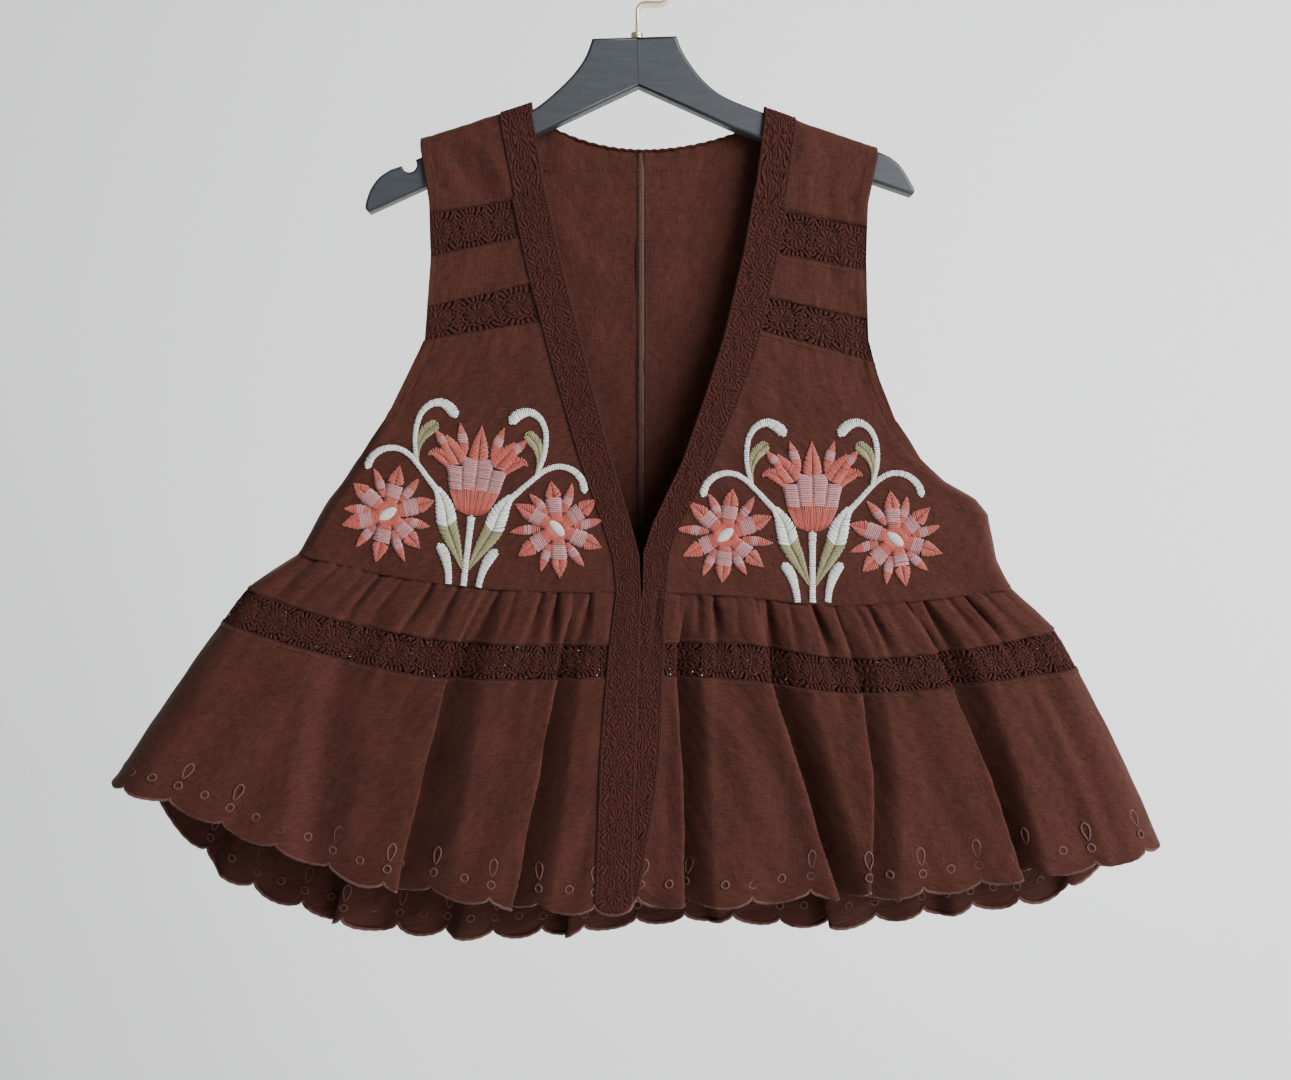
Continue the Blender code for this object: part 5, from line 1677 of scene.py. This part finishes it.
def flat_cut(name, outline, half, edge, material, joint=False):
    """A board cut to an outline in the X and Z plane, its edges rounded, but not at a joint."""
    curve = bpy.data.curves.new(name, "CURVE")
    curve.dimensions = "2D"
    curve.fill_mode = "BOTH"
    curve.extrude = (half - edge) * MM
    curve.bevel_depth = edge * MM
    curve.offset = -edge * MM
    curve.bevel_resolution = 3
    spline = curve.splines.new("POLY")
    spline.points.add(len(outline) - 1)
    for point, (across, height) in zip(spline.points, outline):
        point.co = (across * MM, height * MM, 0, 1)
    spline.use_cyclic_u = True
    shape = add_object(name + "_outline", curve)
    graph = bpy.context.evaluated_depsgraph_get()
    cut = bpy.data.meshes.new_from_object(shape.evaluated_get(graph))
    bpy.data.objects.remove(shape)
    turned = bmesh.new()
    turned.from_mesh(cut)
    bmesh.ops.remove_doubles(turned, verts=turned.verts, dist=SAME_PLACE)
    cosine, sine = math.cos(BOARD_TILT), math.sin(BOARD_TILT)
    for vertex in turned.verts:
        x, y, z = vertex.co
        along_top = x * cosine + (y - BOARD_TOP * MM) * sine
        beyond = abs(along_top) - JOINT_GAP * MM
        if joint and beyond < edge * JOINT_REACH * MM:
            shift = math.copysign(beyond * (1 - JOINT_ROUND), along_top)
            x, y = x - shift * cosine, y - shift * sine
        vertex.co = (x, -z, y)
    for face in turned.faces:
        face.smooth = abs(face.normal.z) < FLAT_NORMAL and face.calc_area() < LARGE_FACE
    turned.to_mesh(cut)
    turned.free()
    cut.materials.clear()
    cut.materials.append(finish(material))
    obj = add_object(name, cut)
    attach(obj, "root")
    return obj


UNDER_BAND = 0.985
LAP = 2.0


def lap(surface):
    """The lap under the next piece, as a share of a surface's length."""
    return LAP / SPANS[surface][1]


# Each cotton panel: on which surface and over which shares of it it lies, how finely it is cut,
# which edges are turned, and what holds it. {} stands for the side.
Panel = namedtuple("Panel", "part surface shares downs steps turned held rests node")
PANELS = [
    Panel("shoulder_{}", "shoulder_{}", (0, UNDER_BAND), (-lap("shoulder"), 3), (42, 46),
          Edges(8, 0, 4, 0), "hung", "board_{}", "shoulder_{}"),
    Panel("strip_{}", "yoke_strip_{}", (0, UNDER_BAND),
          (-lap("yoke_strip"), 1 + lap("yoke_strip")), (44, 18),
          Edges(8, 0, 4, 4), "hung", "cloth_shoulder_{}", "yoke_strip_{}"),
    Panel("front_{}", "front_{}", (0, UNDER_BAND),
          (-lap("front"), 1 + 0.3 * lap("front")), (112, 92),
          Edges(8, 0, 4, 3), "hung", "cloth_strip_{}", "front_{}"),
    Panel("back_{}", "back_{}", (0.0006, 0.9994), (-0.75 * lap("back"), 1.0), (80, 100),
          Edges(8, 0, 2, 3), "hung", "cloth_shoulder_{}", "back_{}"),
    Panel("tier_{}", "peplum_{}", (0.001, UNDER_BAND),
          (-0.004, LACE_TOP + lap("peplum")), (230, 25),
          Edges(0, 0, 0, 3), "gathered", "cloth_front_{}", "tier_front_{}"),
    Panel("skirt_{}", "peplum_{}", (0.001, UNDER_BAND),
          (LACE_BASE - lap("peplum"), 1.0), (SCALLOPS * 24, 74),
          Edges(0, 0, 3, 0), "hung", "cloth_tier_{}", "skirt_front_{}"),
]
BACK_PANELS = [
    Panel("tier_{}", "peplum_{}", (0.0005, 0.9995),
          (-0.004, LACE_TOP + lap("peplum_back")), (370, 20),
          Edges(0, 0, 0, 3), "gathered", "cloth_back_left", "tier_{}"),
    Panel("skirt_{}", "peplum_{}", (0.0005, 0.9995),
          (LACE_BASE - lap("peplum_back"), 1.0), (SCALLOPS * 40, 52),
          Edges(0, 0, 3, 0), "hung", "cloth_tier_{}", "skirt_{}"),
]


class TOP_OT_cloth(bpy.types.Operator):
    """Cuts and hangs the cotton panels"""

    bl_idname = "top.cloth"
    bl_label = "Cotton panels"

    def execute(self, context):
        surfaces = open_surfaces()
        for side, panels in (("left", PANELS), ("right", PANELS), ("back", BACK_PANELS)):
            for panel in panels:
                cloth(panel, side, surfaces, context.scene.top_sizes.wall)
        return {"FINISHED"}


class TOP_OT_lace(bpy.types.Operator):
    """Sets the lace insertions of the yokes and of the peplum"""

    bl_idname = "top.lace"
    bl_label = "Lace insertions"

    def execute(self, context):
        surfaces = open_surfaces()
        for side in SIDES:
            for place in ("upper", "lower"):
                lace_strip(
                    f"insertion_{place}_{side}", surfaces[f"yoke_{place}_{side}"], (0.002, 0.94),
                    (0, 1), 0.0, [f"yoke_lace_{place}_{side}"], "hung",
                    turned=True,
                )
            lace_strip(
                f"insertion_peplum_{side}", surfaces[f"peplum_{side}"], (0.001, 0.95),
                (LACE_TOP, LACE_BASE), 0.0, [f"peplum_lace_front_{side}"], "hung",
            )
        lace_strip(
            "insertion_peplum_back", surfaces["peplum_back"], (0.0005, 0.9995),
            (LACE_TOP, LACE_BASE), 0.0, ["peplum_lace_back"], "hung",
            fullness=BACK_FULLNESS,
        )
        return {"FINISHED"}


# The lining lies a little over the front, and the lace over the lining.
LINING_LIFT = 0.85
BAND_LIFT = 1.55
NECK_BAND_LIFT = 1.5
LINING_SHARE_OF_WALL = 0.7


class TOP_OT_bands(bpy.types.Operator):
    """Lays the lined lace bands along both front edges and round the back of the neck"""

    bl_idname = "top.bands"
    bl_label = "Lace bands"

    def execute(self, context):
        surfaces = open_surfaces()
        for side in SIDES:
            surface = surfaces[f"band_{side}"]
            columns, rows = 13, 260
            share, down = np.meshgrid(np.linspace(0.03, 1, columns), np.linspace(0, 1, rows))
            points = surface.at(share, down, LINING_LIFT)
            across, along_cut = row_lengths(points), row_lengths(points.transpose(1, 0, 2)).T
            lining = build(
                f"band_lining_{side}", points, grid_faces(rows, columns, surface.outside > 0),
                finish("lining"), context.scene.top_sizes.wall * LINING_SHARE_OF_WALL,
                np.stack([across, along_cut], -1),
            )
            declare(points, "hung")
            lace_strip(
                f"band_lace_{side}", surface, (0.0, 1.0), (0.0, 1.0), BAND_LIFT,
                [f"band_{side}"], "hung", lengthwise=True,
            )
        lace_strip(
            "band_lace_neck", surfaces["neck"], (0, 1), (0, 1), NECK_BAND_LIFT,
            ["band_back_neck"], "hung",
        )
        return {"FINISHED"}


class TOP_OT_embroidery(bpy.types.Operator):
    """Works both fronts' flowers, stems and leaves in satin stitch"""

    bl_idname = "top.embroidery"
    bl_label = "Embroidery"

    def execute(self, context):
        colours, pitch = context.scene.top_colours, context.scene.top_sizes.stitch / MM
        graph = context.evaluated_depsgraph_get()
        for side, way in (("left", -1), ("right", 1)):
            cut = bpy.data.objects[f"cloth_front_{side}"].evaluated_get(graph).to_mesh()
            spots = np.empty(len(cut.vertices) * 3)
            cut.vertices.foreach_get("co", spots)
            faces = [tuple(face.vertices) for face in cut.polygons]
            tree = BVHTree.FromPolygons((spots.reshape(-1, 3) / MM).tolist(), faces)
            for place, (across, up) in DAISY_PLACES.items():
                daisy = Satin(pitch)
                centre = np.array([across * way, up])
                turned = math.radians(82 if centre[0] < 0 else 100)
                sew_daisy(daisy, centre, 1 if centre[0] < 0 else -1, colours, turned)
                daisy.lay(
                    f"daisy_{place}_stitches_{side}", side, tree,
                    [f"daisy_{place}_{side}"],
                )
            tulip = Satin(pitch)
            sew_tulip(tulip, colours)
            tulip.lay(f"tulip_stitches_{side}", side, tree, [f"tulip_{side}"])
            stems = Satin(pitch)
            sew_stems(stems, colours)
            stems.lay(
                f"stem_stitches_{side}", side, tree,
                [f"stem_middle_{side}"] + [
                    f"{part}_{place}_{side}"
                    for part in ("stem", "curl", "foot") for place in ("inner", "outer")
                ],
            )
            leaves = Satin(pitch)
            sew_leaves(leaves, colours)
            leaves.lay(
                f"leaf_stitches_{side}", side, tree,
                [f"leaf_inner_{side}", f"leaf_outer_{side}"],
            )
        return {"FINISHED"}


DROP_SHAPE = [
    (0.0, 0.0), (0.9, 1.2), (2.2, 4.2), (3.1, 7.8), (2.9, 10.8), (1.5, 12.9), (0.0, 13.6),
    (-1.5, 12.9), (-2.9, 10.8), (-3.1, 7.8), (-2.2, 4.2), (-0.9, 1.2),
]


# The stitched rings, one in each lobe and one over each cusp: their radius, and their height over
# the edge. A drop stands over the cusp's ring.
RING_RADIUS = 2.9
LOBE_RING = 18.5
CUSP_RING = 17.5
DROP_LIFT = 6.2
# The edge is whipped over from just inside it.
EDGE_INSET = 0.9


class TOP_OT_hem(bpy.types.Operator):
    """Stitches the scalloped edge of the hem, with a ring to each lobe and a drop over each cusp"""

    bl_idname = "top.hem"
    bl_label = "Stitched hem"

    def execute(self, context):
        surfaces = open_surfaces()
        half = context.scene.top_sizes.hem_cord / MM
        for name, lobes in (("left", SCALLOPS), ("right", SCALLOPS), ("back", 2 * SCALLOPS)):
            surface, flat = surfaces[f"peplum_{name}"], surfaces[f"plain_{name}"]
            strands = Strands()
            end = 0.9995 if name == "back" else 1.0
            share = np.linspace(0.0005, end, lobes * 60)
            _, _, _, down_speed = surface.frame(share, 1.0)
            points, normals, _, _ = surface.frame(share, 1 - EDGE_INSET / down_speed)
            ridge = 1 + 0.16 * (-1.0) ** np.arange(len(share))
            strands.add(points, half * ridge, -0.9, 1.9 * ridge, normals)
            centres = np.arange(lobes * 2 + 1) / 2
            centres = centres[1:-1] if name == "back" else centres[1:-2]
            for place in centres:
                cusp = place % 1 == 0
                middle = place / lobes
                _, _, share_speed, down_speed = flat.frame(middle, 0.93)
                shapes = [ring(16) * RING_RADIUS + (0, CUSP_RING if cusp else LOBE_RING)]
                if cusp:
                    shapes.append(np.array(DROP_SHAPE) + (0, CUSP_RING + DROP_LIFT))
                for shape in shapes:
                    spots, out, _, _ = flat.frame(
                        middle + shape[:, 0] / share_speed, 1 - shape[:, 1] / down_speed
                    )
                    for face in (out, -out) if name == "back" else (out,):
                        strands.add(spots[None], 0.85, 0.35, 0.7, face, loop=True)
            sewn_piece(f"hem_stitches_{name}", strands, "hem")
        return {"FINISHED"}


# The height of the faint line that holds the back neck's band, seen on the inside.
NECK_LINE = -180.0
# The lines along the armhole: on which surfaces, and from where to where down them.
ARMHOLE_LINES = (("shoulder", 0, 3), ("yoke_strip", 0, 1), ("front", 0, 0.62))
ARMHOLE_INSET = 7.0
# The lines along the seams: on which surfaces, at which share down them, and on which side of it.
SEAM_LINES = (
    ("shoulder", 0, 1), ("yoke_strip", 0, 1), ("yoke_strip", 1, -1), ("front", 0, 1),
    ("peplum", LACE_TOP, -1), ("peplum", LACE_BASE, 1),
)
SEAM_INSET = 0.6
BAND_LINES = (0.045, 0.955)
# From the centre back seam: the single line beside it, and the two edges of the serging.
CENTRE_BACK_LINE = 2.7
SERGING = (0.2, 4.8)


class TOP_OT_stitching(bpy.types.Operator):
    """Sews the lines of topstitching, the serged centre back seam and the edge of the neck"""

    bl_idname = "top.stitching"
    bl_label = "Topstitching"

    def execute(self, context):
        surfaces = open_surfaces()
        run = np.linspace(0.004, 0.93, 400)
        for side in SIDES:
            lines = Strands()
            for name, start, end in ARMHOLE_LINES:
                surface = surfaces[f"{name}_{side}"]
                downs = np.linspace(start, end, 240)
                shares = inset_line(surface, downs, ARMHOLE_INSET)
                sewn_line(lines, surface, shares, downs, 0.72)
            for name, start, way in SEAM_LINES:
                surface = surfaces[f"{name}_{side}"]
                _, _, _, speed = surface.frame(run, np.full(len(run), start + 0.01 * way))
                sewn_line(lines, surface, run, start + way * SEAM_INSET / speed, 0.8, 2.4, 1.6)
            band = surfaces[f"band_{side}"]
            downs = np.linspace(0.0, 0.998, 900)
            for share in BAND_LINES:
                sewn_line(lines, band, np.full(900, share), downs, 1.9, 2.6, 1.8)
            inside = surfaces[f"back_{side}"]
            across = np.linspace(0.02, 0.98, 400)
            tops, lows = (inside.point(across, down)[:, 2] for down in (0.0, 0.3))
            downs = 0.3 * (tops - NECK_LINE) / (tops - lows)
            below = downs > 0.01
            inside_line(lines, inside, across[below], downs[below], 3.6)
            if side == "right":
                downs = np.linspace(0.004, 0.995, 400)
                shares = inset_line(inside, downs, CENTRE_BACK_LINE, True)
                inside_line(lines, inside, shares, downs, 2.6)
            sewn_piece(f"topstitching_{side}", lines, "serging")
        self.centre_back(surfaces["back_left"])
        self.neck_edge(surfaces["neck"])
        return {"FINISHED"}

    def centre_back(self, surface):
        """The seam allowance on the inside, whipped over by the serging thread."""
        strands = Strands()
        downs = np.linspace(0.003, 0.995, 230)
        near, far = (inset_line(surface, downs, distance, True) for distance in SERGING)
        middle = mix(near, far, 0.5)
        share = np.stack([near, middle, far], 1)
        down = downs[:, None] + np.array([0.0, 0.0012, 0.0024])
        points, normals, _, _ = surface.frame(share, down)
        strands.add(points, 0.5, 1.3, [[0.25, 0.55, 0.25]], -normals)
        for edge, half in ((near, 1.4), (middle, 2.1), (far, 0.7)):
            points, normals, _, _ = surface.frame(edge, downs)
            strands.add(points, half, 0.7, 0.5, -normals)
        sewn_piece("centre_back_serging", strands, "serging")

    def neck_edge(self, surface):
        """Close loops of thread over the edge of the neck at the back."""
        strands = Strands()
        steps = np.arange(420)
        points, normals, _, _ = surface.frame(np.linspace(0.01, 0.99, len(steps)), 0.0)
        points = points - (0, 0, 1.6)
        points[:, 2] += 0.9 * np.abs(np.sin(steps * 0.19 + 0.9 * np.sin(steps * 0.031)))
        strands.add(points, 1.0, -1.2, 2.4, normals)
        sewn_piece("neck_edging", strands, "lace")


def inside_line(strands, surface, shares, downs, pitch):
    """Running stitches on the inner face of a surface."""
    flipped = Surface(surface.place, -surface.outside, (surface.width, surface.length))
    sewn_line(strands, flipped, shares, downs, 0.5, pitch, 1.8)


# Where each lamp stands, its size and its power; both aim at the middle of the top.
LAMPS = (("key", (2.6, -2.3, 0.8), 2.6, 440.0), ("front", (-0.2, -2.1, -2.5), 1.4, 56.0))
LAMP_AIM = (0, 0, -0.45)
# The photo is this many pixels wide, each this many millimetres on the top.
PHOTO_WIDTH = 1291
PIXEL = 0.8
SENSOR = 36.0
CAMERA_ACROSS = 0.0068
CAMERA_HEIGHT = -0.478


class TOP_OT_stage(bpy.types.Operator):
    """Sets the room, the soft lights and the camera"""

    bl_idname = "top.stage"
    bl_label = "Stage"

    def execute(self, context):
        scene = context.scene
        self.room()
        for lamp in LAMPS:
            self.light(*lamp)
        world = bpy.data.worlds.new("soft_grey")
        world.use_nodes = True
        shade = world.node_tree.nodes["Background"].inputs
        shade["Color"].default_value = (0.95, 0.97, 1.0, 1.0)
        shade["Strength"].default_value = 0.28
        scene.world = world
        camera = bpy.data.cameras.new("front_camera")
        camera.sensor_fit = "HORIZONTAL"
        camera.sensor_width = SENSOR
        distance = scene.top_sizes.camera_distance
        camera.lens = SENSOR * distance / (PHOTO_WIDTH * PIXEL * MM)
        holder = add_object("front_camera", camera)
        holder.location = (CAMERA_ACROSS, -distance, CAMERA_HEIGHT)
        holder.rotation_euler = (math.pi / 2, 0, 0)
        scene.camera = holder
        return {"FINISHED"}

    def room(self):
        """A floor that sweeps up into a wall behind the top."""
        floor, wall, top, radius, half = -1.95, 2.4, 3.2, 0.7, 6.0
        turns = np.linspace(0, math.pi / 2, 17)
        profile = [(-half, floor)] + [
            (wall - radius + radius * math.sin(turn), floor + radius - radius * math.cos(turn))
            for turn in turns
        ] + [(wall, top)]
        points = [(x, y, z) for y, z in profile for x in (-half, half)]
        faces = grid_faces(len(profile), 2, False)
        mesh = bpy.data.meshes.new("room")
        mesh.from_pydata(points, [], faces.tolist())
        mesh.polygons.foreach_set("use_smooth", [True] * len(mesh.polygons))
        mesh.materials.append(finish("wall"))
        add_object("room", mesh)

    def light(self, name, place, size, power):
        lamp = bpy.data.lights.new(name, "AREA")
        lamp.size = size
        lamp.energy = power
        holder = add_object(name, lamp)
        holder.location = place
        aim = Vector(LAMP_AIM) - Vector(place)
        holder.rotation_euler = aim.to_track_quat("-Z", "Y").to_euler()


OPERATORS = (
    TOP_OT_hanger, TOP_OT_cloth, TOP_OT_lace, TOP_OT_bands, TOP_OT_embroidery, TOP_OT_hem,
    TOP_OT_stitching, TOP_OT_stage,
)


class VIEW3D_PT_top(bpy.types.Panel):
    """Lists the sizes, the colours and the steps of the top"""

    bl_label = "Embroidered top"
    bl_idname = "VIEW3D_PT_top"
    bl_space_type = "VIEW_3D"
    bl_region_type = "UI"
    bl_category = "Top"

    def draw(self, context):
        for group in (context.scene.top_sizes, context.scene.top_colours):
            for name in group.__annotations__:
                self.layout.prop(group, name)
        for operator in OPERATORS:
            self.layout.operator(operator.bl_idname)


CLASSES = (TopSizes, TopColours) + OPERATORS + (VIEW3D_PT_top,)


def register():
    for cls in CLASSES:
        bpy.utils.register_class(cls)
    bpy.types.Scene.top_sizes = bpy.props.PointerProperty(type=TopSizes)
    bpy.types.Scene.top_colours = bpy.props.PointerProperty(type=TopColours)


def unregister():
    del bpy.types.Scene.top_colours
    del bpy.types.Scene.top_sizes
    for cls in reversed(CLASSES):
        bpy.utils.unregister_class(cls)


def main():
    register()
    for operator in OPERATORS:
        getattr(bpy.ops.top, operator.bl_idname.split(".")[1])()


if __name__ == "__main__":
    main()
